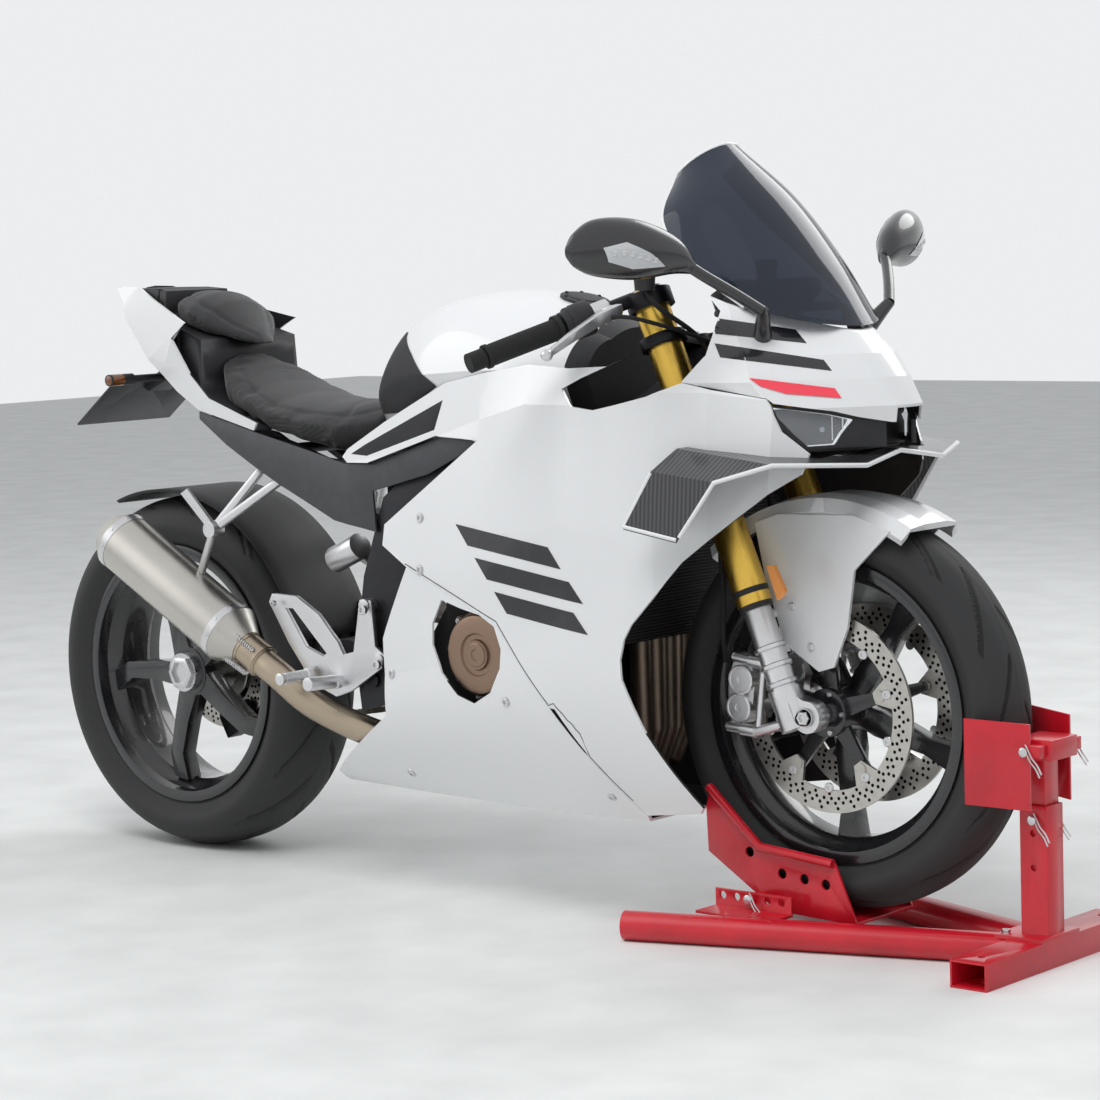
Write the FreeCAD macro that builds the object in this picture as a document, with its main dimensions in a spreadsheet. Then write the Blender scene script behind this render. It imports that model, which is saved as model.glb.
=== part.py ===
"""Sport bike held by a front wheel chock, as separate solids on a steering axis.

Drawing frame: X forward from the rear axle, Y to the rider's left, Z up from the floor, millimetres.
Every piece is then moved back by mid_x, so that the origin lies on the floor under the middle of the length.
"""

import FreeCAD, Part
import Sketcher
import math
import os
import types

Vec = FreeCAD.Vector

doc = FreeCAD.newDocument("sport_bike")
sheet = doc.addObject("Spreadsheet::Sheet", "sizes")

# Driving sizes in millimetres and degrees: (alias, value)
SIZES = [
    # wheels and steering
    ("wheelbase", 1400),
    ("front_lift", 46),
    ("front_tyre_height", 83),
    ("front_tyre_width", 120),
    ("rear_tyre_height", 95),
    ("rear_tyre_width", 180),
    ("bead_radius", 217),
    ("flange_height", 11),
    ("front_rim_width", 90),
    ("rear_rim_width", 142),
    ("well_depth", 17),
    ("rim_wall", 7),
    ("rake_deg", 22.3),
    ("leg_behind_axle", 27),
    ("clamp_offset", 30),
    ("leg_half_track", 105),
    ("gold_tube_radius", 27),
    ("silver_tube_radius", 21.5),
    ("front_disc_radius", 150),
    ("front_disc_inner", 116),
    ("front_disc_offset", 58),
    ("front_disc_thick", 5),
    ("rear_disc_radius", 110),
    ("rear_disc_y", 36),
    ("swingarm_inner_y", 96),
    ("swingarm_outer_y", 120),
    ("swingarm_pivot_x", 575),
    ("swingarm_pivot_z", 352),
    ("frame_inner_y", 143),
    ("frame_outer_y", 168),
    ("gusset_y", 100),
    ("sprocket_y", 130),
    ("sprocket_thick", 6),
    ("sprocket_radius", 104),
    ("front_sprocket_x", 650),
    ("front_sprocket_z", 350),
    ("front_sprocket_radius", 36),
    ("chain_width", 10),
    ("engine_half_width", 140),
    ("clutch_x", 837),
    ("clutch_z", 414),
    ("clutch_radius", 70),
    ("clutch_face_y", 208),
    ("muffler_radius", 52),
    ("link_pipe_radius", 24),
    ("axle_radius", 12.5),
    ("bar_length", 257),
    ("bar_radius", 11),
    ("axle_run", 0.1),
    ("rear_spindle_radius", 20),
    ("rear_spindle_bore", 12),
    ("stem_radius", 15),
    ("stem_bore", 9),
    ("stem_run", 0.1),
    ("head_tube_radius", 33),
    ("top_clamp_along", 606),
    ("bottom_clamp_along", 405),
    ("clip_on_along", 670),
    ("fork_top_along", 686),
    # fit
    ("seat_gap", 0.3),
    ("panel_thick", 4),
    ("intake_half_width", 31),
    # chock
    ("rail_side", 60),
    ("rail_height", 40),
    ("rail_wall", 3),
    ("rail_length", 390),
    ("rail_hole_radius", 5.5),
    ("rail_hole_spacing", 320),
    ("post_x", 1727),
    ("post_side", 44),
    ("post_inner_side", 36),
    ("post_wall", 3),
    ("post_top", 232),
    ("post_inner_top", 330),
    ("foot_tube_radius", 22.5),
    ("foot_tube_wall", 2.5),
    ("foot_rear_x", 1125),
    ("foot_rear_y", 212),
    ("jaw_height", 124),
    ("jaw_length", 96),
    ("jaw_thick", 4),
    ("cradle_half_width", 70),
    ("cradle_thick", 4),
    ("cradle_clearance", 5),
]

for row_number, (alias, value) in enumerate(SIZES, start=1):
    sheet.set(f"A{row_number}", alias)
    sheet.set(f"B{row_number}", str(value))
    sheet.setAlias(f"B{row_number}", alias)
doc.recompute()
s = types.SimpleNamespace(**{alias: float(sheet.get(alias)) for alias, _ in SIZES})
s.front_tyre_radius = s.bead_radius + s.front_tyre_height
s.rear_tyre_radius = s.bead_radius + s.rear_tyre_height
s.flange_radius = s.bead_radius + s.flange_height
s.rim_well_radius = s.bead_radius - s.well_depth

# Points that the pieces share
FRONT_AXLE = Vec(s.wheelbase, 0, s.front_tyre_radius + s.front_lift)
REAR_AXLE = Vec(0, 0, s.rear_tyre_radius)
RAKE = math.radians(s.rake_deg)
STEER_UP = Vec(-math.sin(RAKE), 0, math.cos(RAKE))
STEER_FORWARD = Vec(math.cos(RAKE), 0, math.sin(RAKE))
STEER_POINT = FRONT_AXLE - STEER_FORWARD * (s.leg_behind_axle + s.clamp_offset)
LEG_POINT = FRONT_AXLE - STEER_FORWARD * s.leg_behind_axle
RAIL_FRONT_X = s.post_x + s.rail_side / 2
MID_X = (RAIL_FRONT_X - s.rear_tyre_radius) / 2

nodes = []


def place(piece, label):
    """Give a finished document object its node name and its place in the part's frame."""
    piece.Label = label
    piece.Placement = FreeCAD.Placement(Vec(-MID_X, 0, 0), FreeCAD.Rotation()).multiply(piece.Placement)
    nodes.append(piece)
    return piece


def feature(label, shape):
    piece = doc.addObject("Part::Feature", label)
    piece.Shape = shape
    return place(piece, label)


def bind(item, **expressions):
    """Tie properties of a document object to the size table."""
    for name, expression in expressions.items():
        item.setExpression(name, expression)
    return item


def placed_along(start, way):
    """Placement at start with Z along a direction, its X chosen as OpenCASCADE chooses it."""
    size_x, size_y, size_z = abs(way.x), abs(way.y), abs(way.z)
    if size_y <= size_x and size_y <= size_z:
        across = Vec(-way.z, 0, way.x) if size_x > size_z else Vec(way.z, 0, -way.x)
    elif size_x <= size_y and size_x <= size_z:
        across = Vec(0, -way.z, way.y) if size_y > size_z else Vec(0, way.z, -way.y)
    else:
        across = Vec(-way.y, way.x, 0) if size_x > size_y else Vec(way.y, -way.x, 0)
    return FreeCAD.Placement(start, FreeCAD.Rotation(across, way.cross(across), way, "ZXY"))


def round_bar(name, start, way, radius, length):
    """Cylinder object from start along a direction; radius and length are expressions on the size table."""
    item = doc.addObject("Part::Cylinder", name)
    item.Placement = placed_along(start, way)
    return bind(item, Radius=radius, Height=length)


def block(name, corner, length, width, height):
    """Box object from its low corner; its three sizes are expressions on the size table."""
    item = doc.addObject("Part::Box", name)
    item.Placement.Base = corner
    return bind(item, Length=length, Width=width, Height=height)


def cone(name, start, way, radius_start, radius_end, length):
    item = doc.addObject("Part::Cone", name)
    item.Placement = placed_along(start, way)
    return bind(item, Radius1=radius_start, Radius2=radius_end, Height=length)


def cut(name, base, tool):
    item = doc.addObject("Part::Cut", name)
    item.Base = base
    item.Tool = tool
    item.Refine = True
    return item


def fuse(name, items):
    item = doc.addObject("Part::MultiFuse", name)
    item.Shapes = items
    item.Refine = True
    return item


def group(name, items):
    """Separate solids kept as one node."""
    item = doc.addObject("Part::Compound", name)
    item.Links = items
    return item


def turned_body(label, half_profile, centre):
    """PartDesign body turned about Y; half_profile is (radius, half width) expressions from bead to crown."""
    body = doc.addObject("PartDesign::Body", label + "_body")
    sketch = body.newObject("Sketcher::SketchObject", label + "_profile")
    plane = next(item for item in body.Origin.OriginFeatures if item.Role == "XY_Plane")
    sketch.AttachmentSupport = [(plane, "")]
    sketch.MapMode = "FlatFace"
    corners = [(sketch.evalExpression(radius), sketch.evalExpression(half)) for radius,
               half in half_profile]
    low = [Vec(radius, -half, 0) for radius, half in corners]
    points = low + [Vec(point.x, -point.y, 0) for point in reversed(low)]
    count = len(points)
    for index, point in enumerate(points):
        sketch.addGeometry(Part.LineSegment(point, points[(index + 1) % count]), False)
    for index in range(count):
        sketch.addConstraint(Sketcher.Constraint("Coincident", index, 2, (index + 1) % count, 1))
    for index, (radius, half) in enumerate(half_profile):
        partner = count - 1 - index
        sketch.addConstraint(Sketcher.Constraint("Symmetric", index, 1, partner, 1, -1))
        across = sketch.addConstraint(Sketcher.Constraint("DistanceX", -1, 1, index, 1, points[index].x))
        sketch.setExpression(f"Constraints[{across}]", radius)
        width = sketch.addConstraint(Sketcher.Constraint("DistanceY", index, 1, partner, 1,
                                                         2 * corners[index][1]))
        sketch.setExpression(f"Constraints[{width}]", f"2 * ({half})")
    turn = body.newObject("PartDesign::Revolution", label + "_turn")
    turn.Profile = sketch
    turn.ReferenceAxis = (sketch, ["V_Axis"])
    turn.Angle = 360
    body.Tip = turn
    body.Placement.Base = centre
    return place(body, label)


def closed_wire(points):
    """Closed wire from 3-D points; an entry that is a pair (through, end) makes an arc to its end."""
    edges = []
    start = points[0]
    last = start
    for point in points[1:]:
        if isinstance(point, tuple):
            edges.append(Part.Arc(last, point[0], point[1]).toShape())
            last = point[1]
        else:
            edges.append(Part.LineSegment(last, point).toShape())
            last = point
    if (last - start).Length > 1e-6:
        edges.append(Part.LineSegment(last, start).toShape())
    return Part.Wire(edges)


def side_prism(outline, y_low, y_high):
    """Side-view outline of (x, z) pairs, as a solid from y_low to y_high."""
    face = Part.Face(Part.makePolygon([Vec(x, y_low, z) for x,
                                       z in outline] + [Vec(outline[0][0], y_low, outline[0][1])]))
    return face.extrude(Vec(0, y_high - y_low, 0))


def top_prism(outline, z_low, z_high):
    """Plan outline of (x, y) pairs, as a solid from z_low to z_high."""
    face = Part.Face(Part.makePolygon([Vec(x, y, z_low) for x,
                                       y in outline] + [Vec(outline[0][0], outline[0][1], z_low)]))
    return face.extrude(Vec(0, 0, z_high - z_low))


def rod(start, end, radius):
    return Part.makeCylinder(radius, (end - start).Length, start, end - start)


def tube(start, end, radius, wall):
    return rod(start, end, radius).cut(rod(start, end, radius - wall))


def box(x0, x1, y0, y1, z0, z1):
    return Part.makeBox(x1 - x0, y1 - y0, z1 - z0, Vec(x0, y0, z0))


def mirrored(shape):
    return shape.mirror(Vec(0, 0, 0), Vec(0, 1, 0))


def both_sides(shape):
    return Part.makeCompound([shape, mirrored(shape)])


def bent_rod(points, radius):
    """Round bar in straight runs with ball corners."""
    runs = [rod(start, end, radius) for start, end in zip(points, points[1:])]
    corners = [Part.makeSphere(radius, point) for point in points[1:-1]]
    return runs[0].fuse(runs[1:] + corners)


def bent_path(points, shares=0.45):
    """Straight runs joined by tangent arcs, each as large as its two runs allow."""
    edges = []
    last = points[0]
    for before, corner, after in zip(points, points[1:], points[2:]):
        into = corner - before
        out = after - corner
        reach = shares * min(into.Length, out.Length)
        enter = corner - into.normalize() * reach
        leave = corner + out.normalize() * reach
        turn = into.getAngle(out)
        radius = reach / math.tan(turn / 2)
        middle_way = (enter + leave) * 0.5 - corner
        to_arc = radius / math.cos(turn / 2) - radius
        through = corner + middle_way.normalize() * to_arc
        edges.append(Part.LineSegment(last, enter).toShape())
        edges.append(Part.Arc(enter, through, leave).toShape())
        last = leave
    edges.append(Part.LineSegment(last, points[-1]).toShape())
    return Part.Wire(edges)


def pipe(points, radius, inner=0.0, shares=0.45):
    """Round tube along a bent path."""
    path = bent_path(points, shares)
    start = points[0]
    direction = points[1] - points[0]

    def sweep(section_radius):
        ring = Part.Wire([Part.Circle(start, direction, section_radius).toShape()])
        return path.makePipeShell([ring], True, True)

    outer = sweep(radius)
    if inner > 0:
        return outer.cut(sweep(inner))
    return outer


def loft(wires, ruled=False):
    return Part.makeLoft(wires, True, ruled)


def revolved(profile, centre):
    """Profile of (radius, y) pairs turned about the Y line through centre."""
    points = [Vec(centre.x + radius, centre.y + y, centre.z) for radius, y in profile]
    face = Part.Face(Part.makePolygon(points + [points[0]]))
    return face.revolve(centre, Vec(0, 1, 0), 360)


def around(shape, centre, count, start_deg=0.0):
    """Copies of a shape, evenly spaced about the Y line through centre."""
    copies = []
    for index in range(count):
        copy = shape.copy()
        copy.rotate(centre, Vec(0, 1, 0), start_deg + index * 360.0 / count)
        copies.append(copy)
    return copies


def on_leg(along, side):
    """Point on a fork leg's axis, measured up from the axle's level along the leg."""
    return LEG_POINT + STEER_UP * along + Vec(0, side * s.leg_half_track, 0)


def on_steer(along):
    return STEER_POINT + STEER_UP * along


# Wheels


def tyre(which, centre):
    """Tyre carcass standing on the rim's bead seats; which is front or rear."""
    height = f"sizes.{which}_tyre_height"
    half = f"sizes.{which}_tyre_width / 2"
    bead = f"sizes.{which}_rim_width / 2 - 3"
    radius = f"sizes.bead_radius + {height}"
    drop = f"({height} - sizes.flange_height)"
    half_profile = [
        ("sizes.bead_radius + sizes.seat_gap", bead),
        ("sizes.bead_radius + sizes.flange_height + 2", bead),
        (f"{radius} - 0.62 * {drop}", half),
        (f"{radius} - 0.26 * {drop}", f"{half} * 0.83"),
        (radius, f"{half} * 0.26"),
    ]
    turned_body(f"{which}_tyre", half_profile, centre)


def rim(label, centre, rim_width, spokes, hub, spoke_plane, spoke_outline, hub_bore):
    """Cast wheel: barrel, hub and spokes cut from their outline; hub is (radius, y_low, y_high)."""
    edge = rim_width / 2
    wall = s.rim_wall
    half = [
        (s.rim_well_radius, 0),
        (s.rim_well_radius, edge * 0.45),
        (s.bead_radius, edge * 0.72),
        (s.bead_radius, edge - 2),
        (s.flange_radius, edge - 2),
        (s.flange_radius, edge + 3),
        (s.bead_radius - wall, edge + 3),
        (s.bead_radius - wall, edge * 0.72),
        (s.rim_well_radius - wall, edge * 0.42),
        (s.rim_well_radius - wall, 0),
    ]
    right = [(r, -y) for r, y in reversed(half[:6]) if y > 0] + half[:6]
    inside = half[6:] + [(r, -y) for r, y in reversed(half[6:]) if y > 0]
    barrel = revolved(right + inside, centre)
    hub_radius, hub_low, hub_high = hub
    hub_solid = rod(centre + Vec(0, hub_low, 0), centre + Vec(0, hub_high, 0), hub_radius)
    spoke_low, spoke_high = spoke_plane
    spoke = side_prism([(centre.x + x, centre.z + z) for x, z in spoke_outline], spoke_low, spoke_high)
    keep = rod(centre + Vec(0, -200, 0), centre + Vec(0, 200, 0), s.rim_well_radius - wall / 2)
    arms = [arm.common(keep) for arm in around(spoke, centre, spokes, 18.0)]
    bore = rod(centre + Vec(0, -200, 0), centre + Vec(0, 200, 0), hub_bore)
    wheel = barrel.fuse([hub_solid] + arms).cut(bore)
    return wheel.removeSplitter()


def front_wheel():
    tyre("front", FRONT_AXLE)
    outline = [(20, -15), (60, -20), (150, -12), (197, -20), (197, 20), (150, 12), (60, 20), (20, 15)]
    hub = (36, -s.front_disc_offset - 8, s.front_disc_offset + 8)
    wheel = rim("front_rim", FRONT_AXLE, s.front_rim_width, 5, hub, (-15, 15), outline,
                s.axle_radius + s.axle_run)
    carriers = []
    button_reach = s.front_disc_thick / 2 + 2 + s.seat_gap
    for side in (-1, 1):
        y_mid = side * (s.front_disc_offset - button_reach - 5)
        arm = side_prism([(FRONT_AXLE.x + x, FRONT_AXLE.z + z) for x,
                          z in [(25, -14), (106, -7), (106, 7), (25, 14)]],
                         y_mid - 5, y_mid + 5)
        carriers += around(arm, FRONT_AXLE, 5, 54.0)
    feature("front_rim", wheel.fuse(carriers).removeSplitter())


def disc(centre, y_mid, outer, inner, thick, lobes, lobe_radius, lobe_half, start_deg):
    """Drilled brake disc with lobes reaching in to its buttons."""
    ring = revolved([(inner, y_mid - thick / 2), (outer, y_mid - thick / 2), (outer, y_mid + thick / 2),
                     (inner, y_mid + thick / 2)],
                    centre)
    lobe = side_prism([(centre.x + x, centre.z + z) for x, z in
                       [(lobe_radius - 10, -8), (inner + 4, -lobe_half), (inner + 4, lobe_half),
                        (lobe_radius - 10, 8)]],
                      y_mid - thick / 2, y_mid + thick / 2)
    button = rod(centre + Vec(lobe_radius, y_mid - thick / 2 - 2, 0),
                 centre + Vec(lobe_radius, y_mid + thick / 2 + 2, 0), 9)
    return ring.fuse(around(lobe.fuse(button), centre, lobes, start_deg)).removeSplitter()


def front_discs():
    discs = [disc(FRONT_AXLE, side * s.front_disc_offset, s.front_disc_radius, s.front_disc_inner,
                  s.front_disc_thick, 5, 98, 26, 54.0)
             for side in (-1, 1)]
    feature("front_discs", Part.makeCompound(discs))


def rear_wheel():
    tyre("rear", REAR_AXLE)
    outline = [(30, -26), (80, -40), (150, -56), (197, -48), (197, -14), (150, -26), (90, -8), (34, 18)]
    hub = (44, -48, 30)
    running_bore = s.rear_spindle_radius + s.axle_run
    wheel = rim("rear_rim", REAR_AXLE, s.rear_rim_width, 5, hub, (-46, -14), outline, running_bore)
    feature("rear_rim", wheel)
    outward = Vec(0, 1, 0)
    nut = round_bar("nut_blank", REAR_AXLE + Vec(0, -62, 0), outward, "34", "62 - 48 - sizes.seat_gap")
    bore = round_bar("nut_bore", REAR_AXLE + Vec(0, -70, 0), outward,
                     "sizes.rear_spindle_radius + sizes.axle_run", "30")
    place(cut("nut_solid", nut, bore), "rear_hub_nut")
    rotor = disc(REAR_AXLE, s.rear_disc_y, s.rear_disc_radius, 76, 5, 6, 62, 16, 0.0)
    carrier = revolved([(running_bore + 8, 30 + s.seat_gap), (66, 30 + s.seat_gap), (66, 34),
                        (running_bore + 8, 34)], REAR_AXLE)
    feature("rear_disc", rotor.fuse(carrier).removeSplitter())


# Fork, bars and brakes

def fork():
    uppers = []
    lowers = []
    for side, word in ((-1, "right"), (1, "left")):
        uppers.append(round_bar(f"fork_tube_{word}", on_leg(185, side), STEER_UP, "sizes.gold_tube_radius",
                                "sizes.fork_top_along - 185"))
        stanchion = rod(on_leg(30, side), on_leg(185, side), s.silver_tube_radius)
        foot_out = side * (s.leg_half_track + 10)
        foot_in = side * (s.leg_half_track - 16)
        low_y, high_y = sorted((foot_out, foot_in))
        foot = rod(on_leg(-10, side), on_leg(52, side), s.silver_tube_radius + 4)
        eye = rod(Vec(FRONT_AXLE.x, low_y, FRONT_AXLE.z), Vec(FRONT_AXLE.x, high_y, FRONT_AXLE.z), 24)
        web = side_prism([(FRONT_AXLE.x - 40, FRONT_AXLE.z - 8), (FRONT_AXLE.x, FRONT_AXLE.z - 22),
                          (FRONT_AXLE.x + 10, FRONT_AXLE.z + 18),
                          (FRONT_AXLE.x - 40, FRONT_AXLE.z + 40)], low_y, high_y)
        leg = stanchion.fuse([foot, eye, web])
        leg = leg.cut(rod(Vec(FRONT_AXLE.x, -200, FRONT_AXLE.z), Vec(FRONT_AXLE.x, 200, FRONT_AXLE.z),
                          s.axle_radius))
        lowers.append(leg.removeSplitter())
    place(group("fork_tubes", uppers), "fork_uppers")
    feature("fork_lowers", Part.makeCompound(lowers))
    axle = round_bar("axle_bar", FRONT_AXLE + Vec(0, -s.leg_half_track - 14, 0), Vec(0, 1, 0),
                     "sizes.axle_radius",
                     "2 * (sizes.leg_half_track + 14)")
    place(axle, "front_axle")


def clamp_plate(along, thick, boss_radius, stem_boss):
    """Yoke across both legs, square to the steering axis."""
    centre = on_steer(along)
    parts = [rod(centre - STEER_UP * thick / 2, centre + STEER_UP * thick / 2, stem_boss)]
    for side in (-1, 1):
        leg = on_leg(along, side)
        parts.append(rod(leg - STEER_UP * thick / 2, leg + STEER_UP * thick / 2, boss_radius))
        inward = Vec(0, -side * 14, 0)
        corners = [centre + STEER_FORWARD * -22, leg + STEER_FORWARD * -20 + inward,
                   leg + STEER_FORWARD * 20 + inward,
                   centre + STEER_FORWARD * 22]
        corners = [corner - STEER_UP * thick / 2 for corner in corners]
        parts.append(Part.Face(Part.makePolygon(corners + [corners[0]])).extrude(STEER_UP * thick))
    plate = parts[0].fuse(parts[1:])
    for side in (-1, 1):
        leg = on_leg(along, side)
        plate = plate.cut(rod(leg - STEER_UP * thick, leg + STEER_UP * thick, s.gold_tube_radius))
    return plate.removeSplitter()


def clamps():
    top = clamp_plate(s.top_clamp_along, 18, 36, 30)
    stem_hole = rod(on_steer(s.top_clamp_along - 30), on_steer(s.top_clamp_along + 30), s.stem_radius)
    feature("top_clamp", top.cut(stem_hole).removeSplitter())
    bottom = clamp_plate(s.bottom_clamp_along, 32, 38, 36)
    stem = rod(on_steer(s.bottom_clamp_along), on_steer(s.top_clamp_along + 14), s.stem_radius)
    socket = rod(on_steer(s.bottom_clamp_along - 30), on_steer(s.top_clamp_along + 30), s.stem_bore)
    feature("bottom_clamp", bottom.fuse(stem).cut(socket).removeSplitter())


# Right-hand bar: its inner end seen from the clip-on's ring on the fork leg, and its way outwards
BAR_FROM_LEG = Vec(-14, -23, 4)
BAR_WAY = Vec(-104, -222, -76).normalize()


def bar_end(side, along):
    """Point on a bar's axis, measured outwards from its inner end."""
    leg = on_leg(s.clip_on_along, side)
    run = Vec(BAR_WAY.x, BAR_WAY.y * -side, BAR_WAY.z)
    return leg + Vec(BAR_FROM_LEG.x, BAR_FROM_LEG.y * -side, BAR_FROM_LEG.z) + run * along, run


def bars():
    bar_parts = []
    grip_parts = []
    length = s.bar_length
    for side in (-1, 1):
        leg = on_leg(s.clip_on_along, side)
        ring = rod(leg - STEER_UP * 13, leg + STEER_UP * 13, 36)
        start, run = bar_end(side, 0)
        end = start + run * length
        bar = rod(start, end, s.bar_radius)
        clip = ring.fuse(bar).cut(rod(leg - STEER_UP * 60, leg + STEER_UP * 60, s.gold_tube_radius))
        bar_parts.append(clip.removeSplitter())
        grip_start = end - run * 128
        grip = rod(grip_start, end - run * 2, 16.5)
        collar = rod(end - run * 8, end - run * 2, 18.5)
        weight = rod(end + run * s.seat_gap, end + run * 26, 15)
        flange = rod(grip_start - run * 1, grip_start + run * 6, 21)
        grip = grip.fuse([flange, collar]).cut(rod(grip_start - run * 40, end + run * 1, s.bar_radius))
        grip_parts.append(grip.removeSplitter())
        grip_parts.append(weight)
    feature("handlebars", Part.makeCompound(bar_parts))
    feature("grips", Part.makeCompound(grip_parts))


def controls():
    housings = []
    levers = []
    forward = Vec(1, 0, 0.1)
    for side in (-1, 1):
        start, run = bar_end(side, 0)
        end = start + run * s.bar_length
        inner_end = end - run * 180
        outer_end = end - run * 134
        core = rod(inner_end - run * 38, outer_end + run * 8, s.bar_radius)
        housing = rod(inner_end, inner_end + run * 26,
                      27).fuse([rod(inner_end, inner_end + run * 36, 26), rod(inner_end, outer_end, 22)])
        housings.append(housing.cut(core).removeSplitter())
        perch_mid = inner_end - run * 17
        perch = rod(inner_end - run * 32, inner_end - run * 2, 17).cut(core)
        pivot = perch_mid + forward * 40
        perch_arm = rod(perch_mid + forward * 12, pivot, 9).cut(core)
        rows = [(pivot, 9, 6), (pivot + forward * 12 + run * 50, 9, 5.5),
                (pivot + forward * 34 + run * 115 - Vec(0, 0, 6), 7, 5),
                (pivot + forward * 50 + run * 166 - Vec(0, 0, 14), 4.5, 4)]
        wires = []
        for point, tall, deep in rows:
            wires.append(closed_wire([point + Vec(deep, 0, -tall), point + Vec(deep, 0, tall),
                                      point + Vec(-deep, 0, tall),
                                      point + Vec(-deep, 0, -tall)]))
        ball = Part.makeSphere(9, pivot + forward * 51 + run * 170 - Vec(0, 0, 14.5))
        levers.append(perch.fuse([perch_arm, loft(wires, True), ball]).removeSplitter())
    feature("switch_housings", Part.makeCompound(housings))
    feature("brake_and_clutch_levers", Part.makeCompound(levers))


def from_axle(axle, angle_deg, radius):
    """Side-view point at an angle above the forward direction round an axle, as (x, z)."""
    angle = math.radians(angle_deg)
    return (axle.x + radius * math.cos(angle), axle.z + radius * math.sin(angle))


def front_fender():
    """Mudguard hugging the tyre, with a side ear down each fork leg."""
    inner = s.front_tyre_radius + 12
    outer = inner + 5
    width = s.leg_half_track - s.gold_tube_radius - 12
    shoulder = 16
    profile = [(inner - 22, -width), (inner - 4, -width + shoulder * 0.7), (inner, -30), (inner, 30),
               (inner - 4, width - shoulder * 0.7),
               (inner - 22, width), (outer - 18, width + 5), (outer + 1, width - shoulder * 0.5),
               (outer + 6, 26), (outer + 6, -26),
               (outer + 1, -width + shoulder * 0.5), (outer - 18, -width - 5)]
    reach = inner * 2
    span = [(FRONT_AXLE.x, FRONT_AXLE.z)] + [from_axle(FRONT_AXLE, deg, reach) for deg in (61, 90, 132)]
    arch = revolved(profile, FRONT_AXLE).common(side_prism(span, -150, 150))
    rim_line = [from_axle(FRONT_AXLE, deg, inner - 10) for deg in (65.3, 78, 104, 112.8)]
    ear_outline = [(FRONT_AXLE.x + x, FRONT_AXLE.z + z) for x,
                   z in [(-5, 62), (22, 70), (48, 130), (62, 215)]] + rim_line
    ear_outline += [(FRONT_AXLE.x + x, FRONT_AXLE.z + z) for x, z in [(-98, 190), (-66, 100)]]
    ears = []
    for side in (-1, 1):
        low, high = sorted((side * (width + 2), side * (width + 7)))
        ears.append(side_prism(ear_outline, low, high))
        for along in (110, 165):
            leg = on_leg(along, side)
            boss = rod(Vec(leg.x, side * (width + 4), leg.z), leg, 9)
            ears.append(boss.cut(rod(on_leg(along - 40, side), on_leg(along + 40, side),
                                     s.silver_tube_radius + s.seat_gap)))
    keep_out = rod(FRONT_AXLE + Vec(0, -58.5, 0), FRONT_AXLE + Vec(0, 58.5, 0), inner)
    guard = arch.fuse(ears).cut(keep_out)
    feature("front_fender", guard.removeSplitter())


def caliper(centre, disc_y, disc_thick, long_way, across, length, reach, depth):
    """Caliper bridging the disc's rim: long_way runs along the rim, across points to the disc's axis."""
    half = depth / 2
    corner = centre - long_way * (length / 2) - across * (reach * 0.45)
    frame = [corner, corner + long_way * length, corner + long_way * length + across * reach,
             corner + across * reach]
    block = side_prism([(point.x, point.z) for point in frame], disc_y - half, disc_y + half)
    slot_start = corner + across * (reach * 0.25) - long_way * 5
    slot_run = long_way * (length + 10)
    slot_frame = [slot_start, slot_start + slot_run, slot_start + slot_run + across * reach,
                  slot_start + across * reach]
    gap = disc_thick + 10
    return block.cut(side_prism([(point.x, point.z) for point in slot_frame], disc_y - gap / 2,
                                disc_y + gap / 2))


def front_calipers():
    pieces = []
    angle = math.radians(167)
    out = Vec(math.cos(angle), 0, math.sin(angle))
    along = Vec(-math.sin(angle), 0, math.cos(angle))
    for side in (-1, 1):
        centre = FRONT_AXLE + out * (s.front_disc_radius - 4) + Vec(0, side * s.front_disc_offset, 0)
        body = caliper(centre, side * s.front_disc_offset, s.front_disc_thick, along, out * -1, 110, 52, 62)
        outer_y = side * (s.front_disc_offset + 31)
        for shift in (-20, 20):
            middle = centre - out * 8 + along * shift
            start = Vec(middle.x, outer_y - side * 3, middle.z)
            body = body.fuse(rod(start, start + Vec(0, side * 8, 0), 17))
        for along_leg, shift in ((30, -46), (112, 44)):
            lug = centre + out * -2 + along * shift
            lug = Vec(lug.x, side * (s.leg_half_track - 14), lug.z)
            leg = on_leg(along_leg, side)
            leg_side = Vec(leg.x, side * (s.leg_half_track - 14), leg.z)
            clear = (leg_side - lug).normalize() * (s.silver_tube_radius + 4 + s.seat_gap)
            body = body.fuse(rod(lug, leg_side - clear, 9))
        leg_rod = rod(on_leg(-20, side), on_leg(190, side), s.silver_tube_radius + 4 + s.seat_gap)
        pieces.append(body.cut(leg_rod).removeSplitter())
    feature("front_calipers", Part.makeCompound(pieces))


# Bodywork

def side_edges(x, row, inset):
    """Right-hand half of one bodywork section from keel to shoulder, drawn inset from the outer skin."""
    zb, yb, y1, z1, yc, zc, y2, z2, yt, zt, ys, zs = row
    return [Vec(x, 0, zb + inset), Vec(x, -yb + inset, zb + inset),
            (Vec(x, -y1 + inset, z1 + inset * 0.4), Vec(x, -yc + inset, zc)),
            (Vec(x, -y2 + inset, z2), Vec(x, -yt + inset, zt)), Vec(x, -ys + inset, zs)]


def flipped(point):
    return Vec(point.x, -point.y, point.z)


def side_section(x, row, inset):
    """Whole cross-section of the side bodywork, closed across its top."""
    keel, low, (through_low, crease), (through_high, top), shoulder = side_edges(x, row, inset)
    return closed_wire([keel, low, (through_low, crease), (through_high, top), shoulder, flipped(shoulder),
                        flipped(top),
                        (flipped(through_high), flipped(crease)), (flipped(through_low), flipped(low))])


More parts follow.
